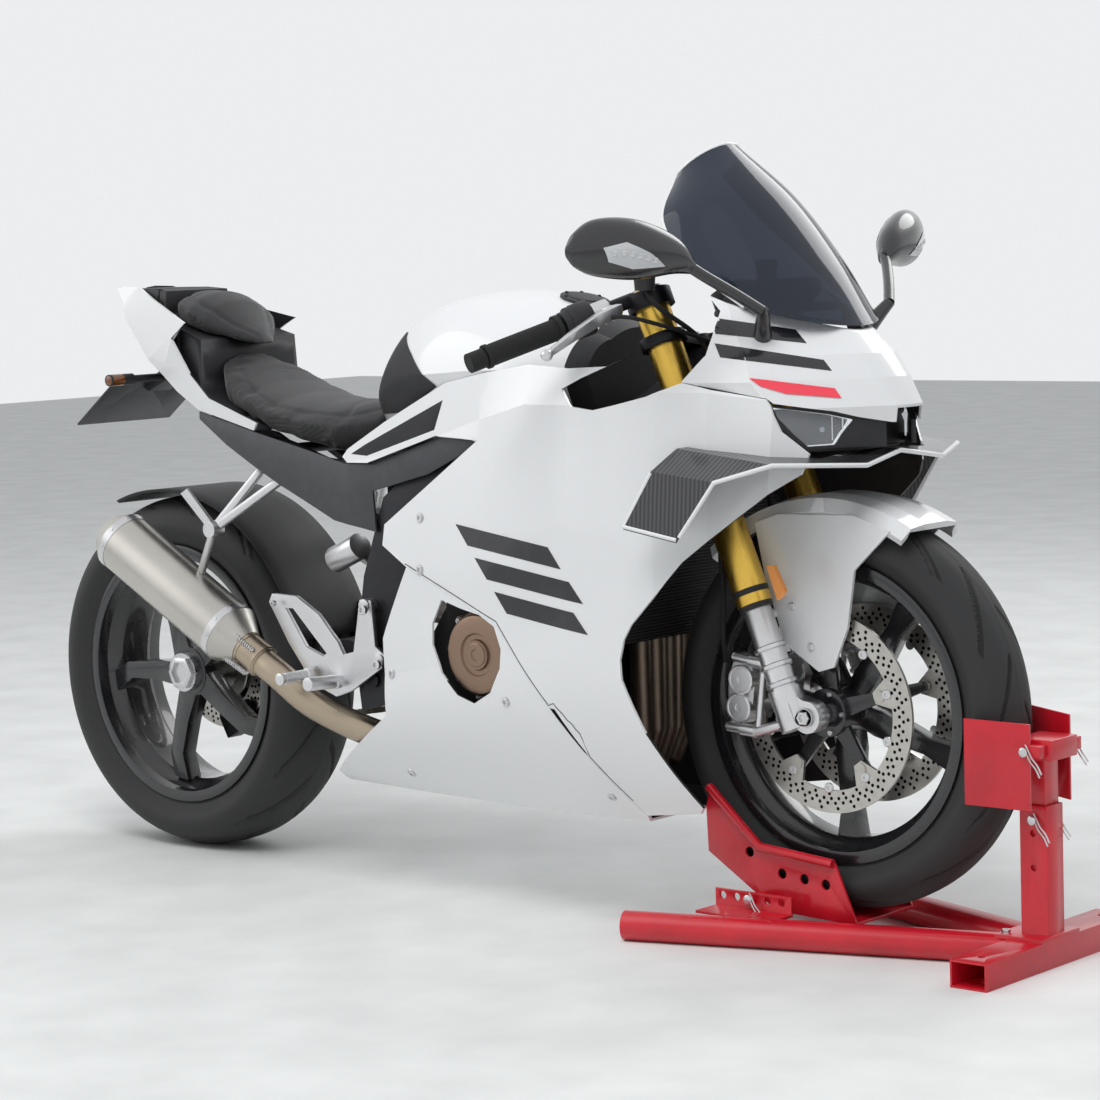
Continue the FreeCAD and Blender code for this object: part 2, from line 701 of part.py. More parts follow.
def side_strip(x, row):
    """Cut through the skin of the side bodywork alone, open at the top."""
    keel, low, (through_low, crease), (through_high, top), shoulder = side_edges(x, row, 0)
    keel_in, low_in, (low_in_through, crease_in), (high_in_through, top_in), shoulder_in = side_edges(x,
            row, s.panel_thick)
    outer = [shoulder, top, (through_high, crease), (through_low, low), flipped(low),
             (flipped(through_low), flipped(crease)),
             (flipped(through_high), flipped(top)), flipped(shoulder)]
    inner = [flipped(shoulder_in), flipped(top_in), (flipped(high_in_through), flipped(crease_in)),
             (flipped(low_in_through), flipped(low_in)),
             low_in, (low_in_through, crease_in), (high_in_through, top_in), shoulder_in]
    return closed_wire(outer + inner)


# Side bodywork sections:
# (x, z_bottom, half_bottom, half_low, z_low, half_crease, z_crease, half_high, z_high, half_top, z_top,
# half_shoulder, z_shoulder)
SIDE_SECTIONS = [
    (430, 168, 100, 158, 225, 168, 330, 178, 480, 168, 690, 160, 760),
    (640, 166, 118, 180, 250, 200, 370, 204, 520, 184, 720, 178, 790),
    (850, 165, 132, 200, 265, 226, 410, 218, 580, 198, 780, 190, 866),
    (960, 166, 140, 206, 272, 234, 430, 226, 610, 216, 806, 172, 892),
    (1050, 168, 146, 212, 280, 238, 440, 234, 630, 224, 806, 158, 886),
    (1220, 176, 160, 216, 290, 238, 450, 236, 650, 218, 826, 150, 900),
    (1310, 184, 160, 212, 296, 226, 456, 222, 660, 212, 826, 150, 900),
    (1400, 190, 150, 196, 300, 206, 460, 196, 665, 174, 812, 120, 880),
    (1450, 200, 120, 150, 310, 160, 470, 140, 690, 112, 800, 70, 860),
]


def side_envelope(inset):
    return loft([side_section(x, row, inset) for x, *row in SIDE_SECTIONS], True)


# The seam between the side panels and the belly panel, from the rear, as (x, z)
SEAM = [(693, 545), (898, 466), (1005, 344), (1133, 182)]
SIDE_PANEL = [(640, 610), (636, 577)] + SEAM + [(1244, 197), (1254, 207), (1186, 321), (1153, 400),
                                                (1152, 430), (1160, 460), (1175, 483),
                                               (1220, 527), (1269, 580), (1385, 668), (1432, 706),
                                               (1438, 735), (1409, 768), (1395, 806),
                                               (1388, 816), (1256, 840), (1200, 820), (1141, 807),
                                               (1100, 799), (1060, 804), (1026, 829),
                                               (1054, 845), (1137, 880), (1094, 862), (1021, 859),
                                               (945, 865), (870, 854), (829, 847),
                                               (771, 836), (629, 772), (541, 727), (528, 714), (540, 705),
                                               (590, 706), (751, 753),
                                               (848, 748)]
BELLY_PANEL = [(446, 160), (448, 187), (625, 301), (628, 345),
               (631, 427)] + [(x - s.seat_gap, z - s.seat_gap * 0.4) for x, z in SEAM] + [(1132, 160)]
CLUTCH_WINDOW = [(774, 498), (752, 460), (750, 425), (770, 382), (805, 350), (842, 340), (880, 360),
                 (905, 400), (908, 430), (893, 464), (860, 480),
                 (819, 487)]
# Window in the thin white frame below the tank, as (x, z)
INSERT = [(549, 719), (583, 735), (766, 809), (748, 762), (588, 717)]
VENT = [(970, 348), (1013, 345), (1063, 274)]


def grown(outline, amount):
    """Outline moved outwards from its middle by an amount."""
    mid_x = sum(x for x, z in outline) / len(outline)
    mid_z = sum(z for x, z in outline) / len(outline)
    moved = []
    for x, z in outline:
        away = math.hypot(x - mid_x, z - mid_z)
        moved.append((x + (x - mid_x) / away * amount, z + (z - mid_z) / away * amount))
    return moved


def side_fairings():
    shell = loft([side_strip(x, row) for x, *row in SIDE_SECTIONS], True)
    window = side_prism(CLUTCH_WINDOW, -300, -100)
    insert = side_prism(INSERT, -300, -100)
    panel = shell.common(side_prism(SIDE_PANEL, -300, -90)).cut([window, insert,
            side_prism(VENT, -300, -100)])
    feature("side_fairings", both_sides(max(panel.Solids, key=lambda solid: solid.Volume)))
    belly = shell.common(side_prism(BELLY_PANEL, -300, 300))
    belly = belly.cut([window, mirrored(window)])
    feature("belly_fairing", max(belly.Solids, key=lambda solid: solid.Volume))


# Nose seen in level cuts: (z, x_tip, half_tip, x_corner, x_cheek, half_cheek, x_rear, half_rear)
NOSE_LEVELS = [
    (690, 1500, 30, 1494, 1405, 150, 1200, 216),
    (765, 1516, 33, 1511, 1396, 172, 1200, 218),
    (800, 1521, 33, 1516, 1397, 177, 1200, 218),
    (840, 1499, 46, 1486, 1367, 186, 1200, 215),
    (875, 1472, 46, 1462, 1351, 175, 1200, 208),
    (905, 1442, 40, 1432, 1325, 160, 1200, 198),
    (945, 1396, 36, 1386, 1300, 144, 1200, 182),
    (1000, 1330, 30, 1322, 1250, 126, 1190, 150),
]


def nose_envelope(inset):
    wires = []
    for z, x_tip, half_tip, x_corner, x_cheek, half_cheek, x_rear, half_rear in NOSE_LEVELS:
        right = [(x_rear - 1, half_rear - inset), (x_cheek - inset * 0.4, half_cheek - inset),
                 (x_corner - inset, half_tip - inset * 0.4)]
        points = [Vec(x, -y, z) for x, y in right] + [(Vec(x_tip - inset, 0, z),
                                                       Vec(x_corner - inset, half_tip - inset * 0.4, z))]
        points += [Vec(x, y, z) for x, y in reversed(right[:2])]
        wires.append(closed_wire(points))
    return loft(wires, True)


def nose_strip(row):
    """Level cut through the nose's skin alone, open to the rear."""
    z, x_tip, half_tip, x_corner, x_cheek, half_cheek, x_rear, half_rear = row
    sides = []
    for inset in (0, s.panel_thick):
        sides.append([Vec(x_rear, -half_rear + inset, z),
                      Vec(x_cheek - inset * 0.4, -half_cheek + inset, z),
                      Vec(x_corner - inset, -half_tip + inset * 0.4, z), Vec(x_tip - inset, 0, z)])
    (rear, cheek, corner, tip), (rear_in, cheek_in, corner_in, tip_in) = sides
    outer = [rear, cheek, corner, (tip, flipped(corner)), flipped(cheek), flipped(rear)]
    inner = [flipped(rear_in), flipped(cheek_in), flipped(corner_in), (tip_in, corner_in), cheek_in,
             rear_in]
    return closed_wire(outer + inner)


# Edges of the nose as (x, z): the lower one from the cockpit to the tip, the rear one, the one under the screen
NOSE_LOW = [(1256, 841), (1388, 817), (1397, 809), (1455, 795), (1479, 785), (1509, 776), (1560, 772)]
NOSE_BACK = [(1256, 841), (1288, 879), (1289, 942), (1251, 975), (1198, 989)]
SCREEN_EDGE = [(1198, 989), (1316, 944), (1436, 908)]


def nose():
    shell = loft([nose_strip(row) for row in NOSE_LEVELS], True)
    below = side_prism(NOSE_LOW + [(1560, 600), (1100, 600), (1100, 841)], -300, 300)
    behind = side_prism(NOSE_BACK + [(1100, 989), (1100, 841)], -300, 300)
    above = side_prism(SCREEN_EDGE + [(1600, 850), (1600, 1100), (1198, 1100)], -300, 300)
    notch = box(1480, 1600, -s.intake_half_width, s.intake_half_width, 600, 796)
    skin = shell.cut([below, behind, above, notch])
    feature("nose_fairing", max(skin.Solids, key=lambda solid: solid.Volume))


def windscreen():
    """Curved screen: ruled loft between arcs across the nose, from its foot to its top edge."""
    # (x_centre, z_centre, x_edge, z_edge, half_width)
    rows = [(1434, 914, 1318, 946.8, 132), (1370, 1012, 1238, 1005, 148), (1290, 1110, 1164, 1075, 132),
            (1199, 1189, 1140, 1142, 70)]
    outer = []
    inner = []
    thick = 4
    for x_mid, z_mid, x_edge, z_edge, half in rows:
        bulge = Vec(x_mid - x_edge, 0, z_mid - z_edge).normalize()
        for wires, inset in ((outer, 0), (inner, thick)):
            a = Vec(x_edge, -half + inset, z_edge)
            b = Vec(x_mid, 0, z_mid) - bulge * inset
            c = Vec(x_edge, half - inset, z_edge)
            wires.append((a, b, c))
    sections = []
    for (a, b, c), (d, e, f) in zip(outer, inner):
        sections.append(Part.Wire([Part.Arc(a, b, c).toShape(), Part.LineSegment(c, f).toShape(),
                                   Part.Arc(f, e, d).toShape(),
                                   Part.LineSegment(d, a).toShape()]))
    screen = loft(sections, True)
    x_foot, z_foot, half_foot = rows[0][2], rows[0][3], rows[0][4]
    for side in (-1, 1):
        tab = rod(Vec(x_foot - 4, side * (half_foot - 2), z_foot + 4),
                  Vec(x_foot - 22, side * (half_foot - 14), z_foot - 20), 5)
        tab = tab.cut(nose_envelope(-s.seat_gap))
        screen = screen.fuse(max(tab.Solids, key=lambda solid: solid.CenterOfMass.z))
    feature("windscreen", screen.removeSplitter())


# Fuel tank sections: (x, z_bottom, half_bottom, half_mid, z_mid, half_top, z_top, z_crown)
TANK_SECTIONS = [
    (526, 738, 56, 80, 800, 44, 846, 858),
    (580, 746, 100, 122, 820, 74, 900, 916),
    (650, 752, 128, 158, 840, 96, 938, 954),
    (750, 760, 146, 184, 850, 112, 955, 974),
    (860, 772, 150, 186, 856, 106, 946, 968),
    (950, 782, 138, 168, 852, 88, 924, 944),
    (1012, 790, 104, 128, 846, 66, 898, 914),
]


def tank_section(x, zb, yb, ym, zm, yt, zt, crown):
    """Tank cut from its flat underside over the bulging flank and rounded shoulder to the crown."""
    flank = Vec(x, -ym, zm)
    shoulder = Vec(x, -(ym + yt) / 2 - 6, (zm + zt) / 2 + 12)
    edge = Vec(x, -yt, zt)
    return closed_wire([Vec(x, -yb, zb), flank, (shoulder, edge), (Vec(x, 0, crown), flipped(edge)),
                        (flipped(shoulder), flipped(flank)),
                        Vec(x, yb, zb)])


def tank():
    feature("fuel_tank", loft([tank_section(*row) for row in TANK_SECTIONS]))


def cushion(label, rows):
    """Seat pad from rows of (x, z_bottom, half_bottom, half_top, z_edge, z_crown)."""
    wires = []
    for x, zb, yb, yt, ze, zc in rows:
        wires.append(closed_wire([Vec(x, 0, zb), Vec(x, -yb, zb), Vec(x, -yt, ze),
                                  (Vec(x, 0, zc), Vec(x, yt, ze)), Vec(x, yb, zb)]))
    feature(label, loft(wires, True))


# The pillion pad's underside is the line z = SEAT_LINE_Z - SEAT_LINE_SLOPE * x
SEAT_LINE_Z = 943.4
SEAT_LINE_SLOPE = 0.3083


def rider_seat():
    cushion("rider_seat", [
        (140, 811.5, 58, 66, 866, 884),
        (180, 796.8, 98, 106, 838, 858),
        (240, 774.6, 116, 124, 806, 824),
        (300, 752.4, 124, 132, 782, 804),
        (380, 732, 118, 128, 764, 794),
        (450, 716, 106, 116, 756, 794),
        (520, 708, 60, 70, 772, 800),
    ])


def pillion_seat():
    rows = [(16, 42, 48, 962, 978), (44, 74, 82, 962, 985), (84, 84, 93, 948, 982), (118, 80, 88, 930, 966),
            (156, 46, 54, 902, 926), (192, 10, 14, 890, 894)]
    cushion("pillion_seat", [(x, SEAT_LINE_Z - SEAT_LINE_SLOPE * x, yb, yt, ze, zc) for x, yb, yt, ze,
                             zc in rows])


# White tail side, right hand, from its tip to the seat: (x_low, y_low, z_low, x_up, y_up, z_up)
TAIL_ROWS = [
    (-156, 36, 989, -132, 37, 992),
    (-131, 46, 966, -92, 41, 991),
    (-117, 56, 938, -20, 76, 971),
    (-21, 92, 866, 122, 134, 930),
    (30, 105, 840, 77, 125, 904),
    (80, 118, 812, 124, 129, 844),
    (143, 130, 783, 179, 138, 803),
    (298, 150, 751, 308, 152, 764),
]
# Black tail core between the sides: (x, z_low, half_low, half_up, z_up)
CORE_ROWS = [
    (-138, 968, 20, 24, 986),
    (-92, 930, 48, 36, 989),
    (-20, 872, 78, 58, 988),
    (13, 852, 88, 72, 984),
    (13.5, 852, 88, 84, SEAT_LINE_Z - SEAT_LINE_SLOPE * 13.5 - 0.3),
    (76, 824, 104, 104, SEAT_LINE_Z - SEAT_LINE_SLOPE * 76 - 0.3),
    (138, 796, 118, 112, SEAT_LINE_Z - SEAT_LINE_SLOPE * 138 - 0.3),
    (138.5, 796, 118, 118, 811.8),
    (240, 768, 132, 130, 774.3),
    (298, 750, 140, 138, 752.6),
]


def core_envelope(grow):
    wires = []
    for x, z_low, half_low, half_up, z_up in CORE_ROWS:
        low = half_low + grow
        up = half_up + grow
        wires.append(closed_wire([Vec(x, -low, z_low), Vec(x, -up, z_up), Vec(x, up, z_up),
                                  Vec(x, low, z_low)]))
    return loft(wires, True)


def tail():
    """White tail sides, each with two lugs on the black core."""
    wires = []
    for x_low, y_low, z_low, x_up, y_up, z_up in TAIL_ROWS:
        low = Vec(x_low, -y_low, z_low)
        up = Vec(x_up, -y_up, z_up)
        inward = Vec(0, s.panel_thick, 0)
        wires.append(closed_wire([low, up, up + inward, low + inward]))
    panel = loft(wires, True)
    core = core_envelope(s.seat_gap)
    for x, y, z in ((-20, 80, 900), (131, 125, 812)):
        lug = rod(Vec(x, -y, z), Vec(x, -y + 34, z), 5).cut(core)
        panel = panel.fuse(max(lug.Solids, key=lambda solid: -solid.CenterOfMass.y))
    feature("tail_fairing", both_sides(panel.removeSplitter()))


def tail_core():
    """Black cover between the white tail sides, hollow over the subframe."""
    wall = s.panel_thick
    inner = []
    for x, z_low, half_low, half_up, z_up in CORE_ROWS[1:]:
        low = half_low - wall * 1.5
        up = half_up - wall * 1.5
        roof = z_up - wall if x < 138.2 else z_up - 2.5
        inner.append(closed_wire([Vec(x, -low, z_low - 40), Vec(x, -up, roof), Vec(x, up, roof),
                                  Vec(x, low, z_low - 40)]))
    cover = core_envelope(0).cut(loft(inner, True))
    feature("tail_core", max(cover.Solids, key=lambda solid: solid.Volume))


def machine():
    """Engine block with its clutch and generator covers."""
    half = s.engine_half_width
    crank = side_prism([(714, 252), (950, 252), (1004, 310), (1004, 470), (960, 520), (714, 500)], -half,
                       half)
    gearbox = side_prism([(626, 330), (664, 296), (714, 252), (714, 500), (664, 430), (626, 372)],
                         -s.sprocket_y + 12, s.sprocket_y - 12)
    head = side_prism([(840, 500), (975, 450), (1015, 640), (995, 700), (880, 720)], -half + 44, half - 44)
    feature("engine_block", crank.fuse([gearbox, head]).removeSplitter())
    centre = Vec(s.clutch_x, 0, s.clutch_z)
    out = Vec(0, -1, 0)
    clutch = round_bar("clutch_drum", centre + out * (half + s.seat_gap), out, "sizes.clutch_radius",
                       "sizes.clutch_face_y - sizes.engine_half_width - sizes.seat_gap")
    cap = round_bar("clutch_cap", centre + out * s.clutch_face_y, out, "22", "5")
    generator = round_bar("generator_drum", centre + Vec(0, half + s.seat_gap, -10), Vec(0, 1, 0),
                          "sizes.clutch_radius - 4",
                          "46 - sizes.seat_gap")
    place(group("covers", [fuse("clutch_cover", [clutch, cap]), generator]), "engine_covers")


SIDE_STAND_PIVOT = Vec(592, 186, 328)
SIDE_STAND_AXIS = Vec(-0.042, 0.937, 0.348)

FRAME_SIDE = [(1140, 836), (1190, 760), (1160, 720), (1000, 700), (840, 690), (720, 630), (665, 560),
              (650, 470), (640, 430), (632, 320), (545, 300),
              (535, 380), (560, 520), (610, 650), (700, 712), (900, 752), (1030, 776), (1080, 820),
              (1100, 836)]
# Frame spars seen from above, rear to front: (x, y)
FRAME_PLAN_OUTER = [(530, s.frame_outer_y), (700, s.frame_outer_y), (900, s.frame_outer_y + 4), (1000, 142),
                    (1080, 66), (1200, 40)]
FRAME_PLAN_INNER = [(530, s.frame_inner_y), (900, s.frame_inner_y), (980, 112), (1060, 30), (1200, 8)]


def main_frame():
    spar = top_prism([(x, -y) for x, y in FRAME_PLAN_OUTER] + [(x, -y) for x,
            y in reversed(FRAME_PLAN_INNER)], 250, 1000)
    right = spar.common(side_prism(FRAME_SIDE, -300, 0))
    head = rod(on_steer(s.bottom_clamp_along + 21), on_steer(s.top_clamp_along - 14), s.head_tube_radius)
    inner = s.frame_inner_y + 4
    cross = rod(Vec(600, -inner, 520), Vec(600, inner, 520), 16)
    lug = rod(SIDE_STAND_PIVOT - SIDE_STAND_AXIS * 25,
              SIDE_STAND_PIVOT - SIDE_STAND_AXIS * (6 + s.seat_gap), 14)
    tank_pad = side_prism([(850, 735), (895, 745), (895, 774.5 - s.seat_gap), (850, 770 - s.seat_gap)],
                          -162, -148)
    fairing_mount = rod(Vec(880, -150, 735), Vec(880, -300, 735),
                        10).common(side_envelope(s.panel_thick + s.seat_gap))
    frame = head.fuse([right, mirrored(right), cross, lug, tank_pad, mirrored(tank_pad), fairing_mount,
                       mirrored(fairing_mount)])
    bore = rod(on_steer(s.bottom_clamp_along), on_steer(s.top_clamp_along + 40), s.stem_radius + s.stem_run)
    above = rod(on_steer(s.top_clamp_along - 14), on_steer(s.top_clamp_along + 150), 150)
    below = rod(on_steer(s.bottom_clamp_along - 150), on_steer(s.bottom_clamp_along + 21), 150)
    frame = frame.cut([bore, above, below])
    pivot_bolt = rod(Vec(s.swingarm_pivot_x, -200, s.swingarm_pivot_z),
                     Vec(s.swingarm_pivot_x, 200, s.swingarm_pivot_z), 12 + s.seat_gap)
    feature("main_frame", frame.cut(pivot_bolt).removeSplitter())


def subframe():
    upper = bent_rod([Vec(640, -128, 680), Vec(430, -110, 694), Vec(340, -100, 718), Vec(130, -68, 762),
                      Vec(60, -40, 884)], 12)
    lower = bent_rod([Vec(600, -132, 594), Vec(372, -104, 660), Vec(270, -90, 690), Vec(180, -76, 746)], 10)
    gusset = side_prism([(270, 690), (372, 658), (392, 706), (345, 722), (300, 745), (262, 752)],
                        -s.gusset_y, -s.gusset_y + 8)
    tie = rod(Vec(340, -100, 718), Vec(340, 100, 718), 9)
    tie_rear = rod(Vec(60, -40, 884), Vec(60, 40, 884), 9)
    foot = box(596, 650, -s.frame_inner_y + s.seat_gap, -116, 590, 700)
    roof = [SEAT_LINE_Z - SEAT_LINE_SLOPE * x - s.panel_thick - 2 * s.seat_gap for x in (52, 68)]
    post = side_prism([(52, 886), (68, 886), (68, roof[1]), (52, roof[0])], -46, -34)
    side = upper.fuse([lower, gusset, foot, post])
    feature("subframe", side.fuse([mirrored(side), tie, tie_rear]).removeSplitter())


def swingarm():
    pivot = Vec(s.swingarm_pivot_x, 0, s.swingarm_pivot_z)
    inner = s.swingarm_inner_y
    outer = s.swingarm_outer_y
    arm = side_prism([(596, 334), (590, 374), (500, 384), (300, 400), (60, 378), (-50, 340), (-66, 300),
                      (-40, 256), (60, 252), (300, 318), (500, 326)],
                     inner, outer)
    hub = rod(REAR_AXLE + Vec(0, s.rear_disc_y + 10, 0), REAR_AXLE + Vec(0, s.sprocket_y - s.seat_gap, 0),
              58)
    cross = rod(pivot + Vec(0, -s.frame_inner_y + s.seat_gap, 0),
                pivot + Vec(0, s.frame_inner_y - s.seat_gap, 0), 22)
    bolt = rod(pivot + Vec(0, -s.frame_outer_y - 4, 0), pivot + Vec(0, s.frame_outer_y + 4, 0), 12)
    bridge = side_prism([(594, 334), (590, 372), (440, 400), (372, 392), (372, 340), (500, 328)], -88,
                        inner)
    spindle = rod(REAR_AXLE + Vec(0, -64, 0), REAR_AXLE + Vec(0, s.sprocket_y + s.sprocket_thick + 8, 0),
                  s.rear_spindle_radius)
    body = arm.fuse([hub, cross, bolt, bridge, spindle])
    body = body.cut(rod(REAR_AXLE + Vec(0, -80, 0), REAR_AXLE + Vec(0, 160, 0), s.rear_spindle_bore))
    feature("swingarm", body.removeSplitter())


MUFFLER_FRONT = Vec(274, -197, 412)
MUFFLER_REAR = Vec(18, -205, 562)
MUFFLER_COLLAR = Vec(306, -194, 390)
COLLECTOR_START = Vec(900, 0, 213)
COLLECTOR_END = Vec(704, -20, 213)


def exhaust():
    """Muffler with its slanted rear cap and front cone, and the link pipe to the collector."""
    back = (MUFFLER_FRONT - MUFFLER_REAR).normalize()
    cone_way = MUFFLER_COLLAR - MUFFLER_FRONT
    length = (MUFFLER_FRONT - MUFFLER_REAR).Length
    shell = round_bar("muffler_shell", MUFFLER_REAR, back, "sizes.muffler_radius", f"{length:.9f}")
    front = cone("muffler_front", MUFFLER_FRONT, back, "sizes.muffler_radius", "sizes.link_pipe_radius + 6",
                 f"{cone_way.Length:.9f}")
    cap = cone("muffler_cap", MUFFLER_REAR - back * 22, back, "sizes.muffler_radius - 14",
               "sizes.muffler_radius", "22")
    outlet = round_bar("muffler_outlet", MUFFLER_REAR - back * 30, back, "sizes.link_pipe_radius", "90")
    place(cut("muffler_solid", fuse("muffler_skin", [shell, front, cap]), outlet), "muffler")
    start = MUFFLER_FRONT + back * (cone_way.Length + s.seat_gap)
    way = (COLLECTOR_END - COLLECTOR_START).normalize()
    end = COLLECTOR_END + way * s.seat_gap
    sleeve = rod(start, start + back * 46, s.link_pipe_radius + 4)
    link = bent_rod([start, start + back * 90, Vec(450, -178, 296), Vec(560, -130, 256), end + way * 60,
                     end], s.link_pipe_radius)
    feature("link_pipe", link.fuse(sleeve).removeSplitter())


def side_stand():
    pivot = SIDE_STAND_PIVOT
    leg = pipe([pivot + Vec(-10, 9, -6), pivot + Vec(-120, 18, -26), pivot + Vec(-262, 22, -44)], 10)
    knuckle = rod(pivot - SIDE_STAND_AXIS * 6, pivot + SIDE_STAND_AXIS * 8, 16)
    pad = box(pivot.x - 276, pivot.x - 236, pivot.y + 12, pivot.y + 34, pivot.z - 58, pivot.z - 50)
    feature("side_stand", leg.fuse([knuckle, pad]).removeSplitter())


# Mirror head sections: (y, x_mid, z_mid, half_x, half_z), from its inner end to its tip
MIRROR_ROWS = [
    (238, 1308, 1009, 9, 11),
    (272, 1297, 1027, 24, 28),
    (330, 1278, 1036, 33, 43),
    (385, 1256, 1040, 30, 41),
    (414, 1244, 1038, 18, 27),
    (426, 1238, 1036, 8, 12),
]


def mirrors():
    heads = []
    clear = nose_envelope(-s.seat_gap)
    for side in (-1, 1):
        wires = []
        for y, x_mid, z_mid, half_x, half_z in MIRROR_ROWS:
            ring = [Vec(x_mid + half_x * math.cos(math.radians(deg)), side * y,
                        z_mid + half_z * math.sin(math.radians(deg)))
                    for deg in range(0, 360, 30)]
            wires.append(Part.makePolygon(ring + [ring[0]]))
        arm = rod(Vec(1376, side * 160, 944), Vec(1308, side * 243, 1009), 8)
        foot = rod(Vec(1376, side * 160, 944), Vec(1338, side * 117, 882), 10)
        knee = Part.makeSphere(10, Vec(1376, side * 160, 944))
        head = loft(wires, True).fuse([arm, foot, knee]).cut(clear)
        heads.append(max(head.Solids, key=lambda solid: solid.Volume).removeSplitter())
    feature("mirrors", Part.makeCompound(heads))


# Winglet rows from the middle to the foot of the end plate: (x_front, x_rear, y, z_front, z_rear)
WINGLET_ROWS = [(1498, 1380, -4, 729, 733), (1506, 1330, 96, 714, 752), (1440, 1270, 236, 722, 742),
                (1372, 1262, 288, 700, 712), (1312, 1214, 296, 616, 632)]


def winglets():
    blades = []
    thick = 5
    for side in (-1, 1):
        parts = []
        for (xf, xr, y, zf, zr), (xf2, xr2, y2, zf2, zr2) in zip(WINGLET_ROWS, WINGLET_ROWS[1:]):
            wires = []
            for x0, x1, yy, z0, z1 in ((xf, xr, y, zf, zr), (xf2, xr2, y2, zf2, zr2)):
                wires.append(Part.makePolygon([Vec(x0, side * yy, z0), Vec(x1, side * yy, z1),
                                               Vec(x1, side * (yy + 1), z1 + thick),
                                               Vec(x0, side * (yy + 1), z0 + thick),
                                               Vec(x0, side * yy, z0)]))
            parts.append(loft(wires, True))
        blades.append(parts[0].fuse(parts[1:]).removeSplitter())
    return blades


def winglet_feature():
    """Shelf under the nose that reaches out on both sides as winglets with folded-down ends."""
    left, right = winglets()
    wing = left.fuse(right).cut(side_envelope(-s.seat_gap))
    feature("winglets", max(wing.Solids, key=lambda solid: solid.Volume).removeSplitter())


# Headlight lens and its black housing: (distance from the nose's corner along its cheek, z)
LENS = [(182, 803), (99, 790), (63, 781), (80, 762), (91, 746), (131, 745), (154, 766), (174, 787)]
HOUSING = [(14, 776), (61, 787), (99, 796), (188, 806), (188, 780), (158, 752), (137, 740), (14, 740)]
HOUSING_LIP = [(20, 774), (61, 784), (108, 794), (108, 800), (61, 795), (20, 785)]


def cheek_plate(outline, depth, thick):
    """Outline on the right cheek of the nose, as a plate set back into it by a depth."""
    z, x_tip, half_tip, x_corner, x_cheek, half_cheek, x_rear, half_rear = NOSE_LEVELS[2]
    corner = Vec(x_corner, -half_tip, 0)
    along = (Vec(x_cheek, -half_cheek, 0) - corner).normalize()
    inward = Vec(-abs(along.y), abs(along.x), 0)
    points = [corner + along * way + inward * depth + Vec(0, 0, height) for way, height in outline]
    return Part.Face(Part.makePolygon(points + [points[0]])).extrude(inward * thick)


def headlights():
    lens = cheek_plate(LENS, 10, 4)
    feature("headlights", both_sides(lens))
    lip = cheek_plate(HOUSING_LIP, 0, 11).common(nose_envelope(s.panel_thick + s.seat_gap))
    housing = cheek_plate(HOUSING, 9, 8).fuse(lip).cut(cheek_plate(grown(LENS, s.seat_gap), 5,
            16)).removeSplitter()
    feature("headlight_housing", both_sides(max(housing.Solids, key=lambda solid: solid.Volume)))


def instrument_panel():
    """Dash on the fairing stay, which reaches forward from the head tube between the fork legs."""
    dash = side_prism([(1240, 960), (1300, 985), (1306, 965), (1262, 925), (1240, 930)], -80, 80)
    root = on_steer(500) + STEER_FORWARD * (s.head_tube_radius + s.seat_gap)
    stay = side_prism([(root.x, root.z - 22), (root.x + 60, root.z + 30), (1240, 935), (1262, 935),
                       (1262, 905), (root.x + 84, root.z + 8), (root.x + 8, root.z - 40)],
                      -14, 14)
    stay = stay.cut(rod(on_steer(300), on_steer(700), s.head_tube_radius + s.seat_gap))
    stay = max(stay.Solids, key=lambda solid: solid.Volume)
    bar = rod(Vec(1285, -210, 940), Vec(1285, 210, 940),
              7).common(nose_envelope(s.panel_thick + s.seat_gap))
    feature("instrument_panel", dash.fuse([stay, bar]).removeSplitter())


def radiator():
    """Curved-back core hung from the frame's nose by two tabs."""
    core = side_prism([(1068, 446), (1096, 440), (1146, 640), (1118, 648)], -176, 176)
    tab = side_prism([(1118, 640), (1138, 640), (1138, 717.25 - s.seat_gap), (1118, 714.75 - s.seat_gap)],
                     -44, -28)
    feature("radiator", core.fuse([tab, mirrored(tab)]).removeSplitter())


def headers():
    """Four pipes down from the cylinder head's face into one collector under the engine."""
    pipes = []
    for y in (-60, -20, 20, 60):
        port = Vec(1006, y, 596)
        pipes.append(bent_rod([port, port + Vec(30, 0, -6.3), Vec(1044, y * 0.95, 560),
                               Vec(1040, y * 0.9, 290), Vec(1018, y * 0.8, 236),
                               Vec(970, y * 0.7, 214), Vec(870, y * 0.5, 213)], 17))
    way = (COLLECTOR_END - COLLECTOR_START).normalize()
    collector = rod(COLLECTOR_START, COLLECTOR_END - way * 14, 34)
    stub = rod(COLLECTOR_END - way * 20, COLLECTOR_END, s.link_pipe_radius + 4)
    feature("exhaust_headers", pipes[0].fuse(pipes[1:] + [collector, stub]).removeSplitter())


def hugger():
    inner = s.rear_tyre_radius + 10
    shell = revolved([(inner, -86), (inner, 92), (inner + 4, 94), (inner + 5, -90)], REAR_AXLE)
    wedge = [(REAR_AXLE.x, REAR_AXLE.z)] + [from_axle(REAR_AXLE, deg, inner * 1.6) for deg in (112, 78, 46,
            14)]
    guard = shell.common(side_prism(wedge, -100, 100))
    tab = side_prism([(300, 404), (360, 396), (352, 430), (300, 440)], 80, s.swingarm_outer_y)
    tab = tab.cut(rod(REAR_AXLE + Vec(0, -200, 0), REAR_AXLE + Vec(0, 200, 0), inner))
    feature("rear_hugger", guard.fuse(tab).removeSplitter())


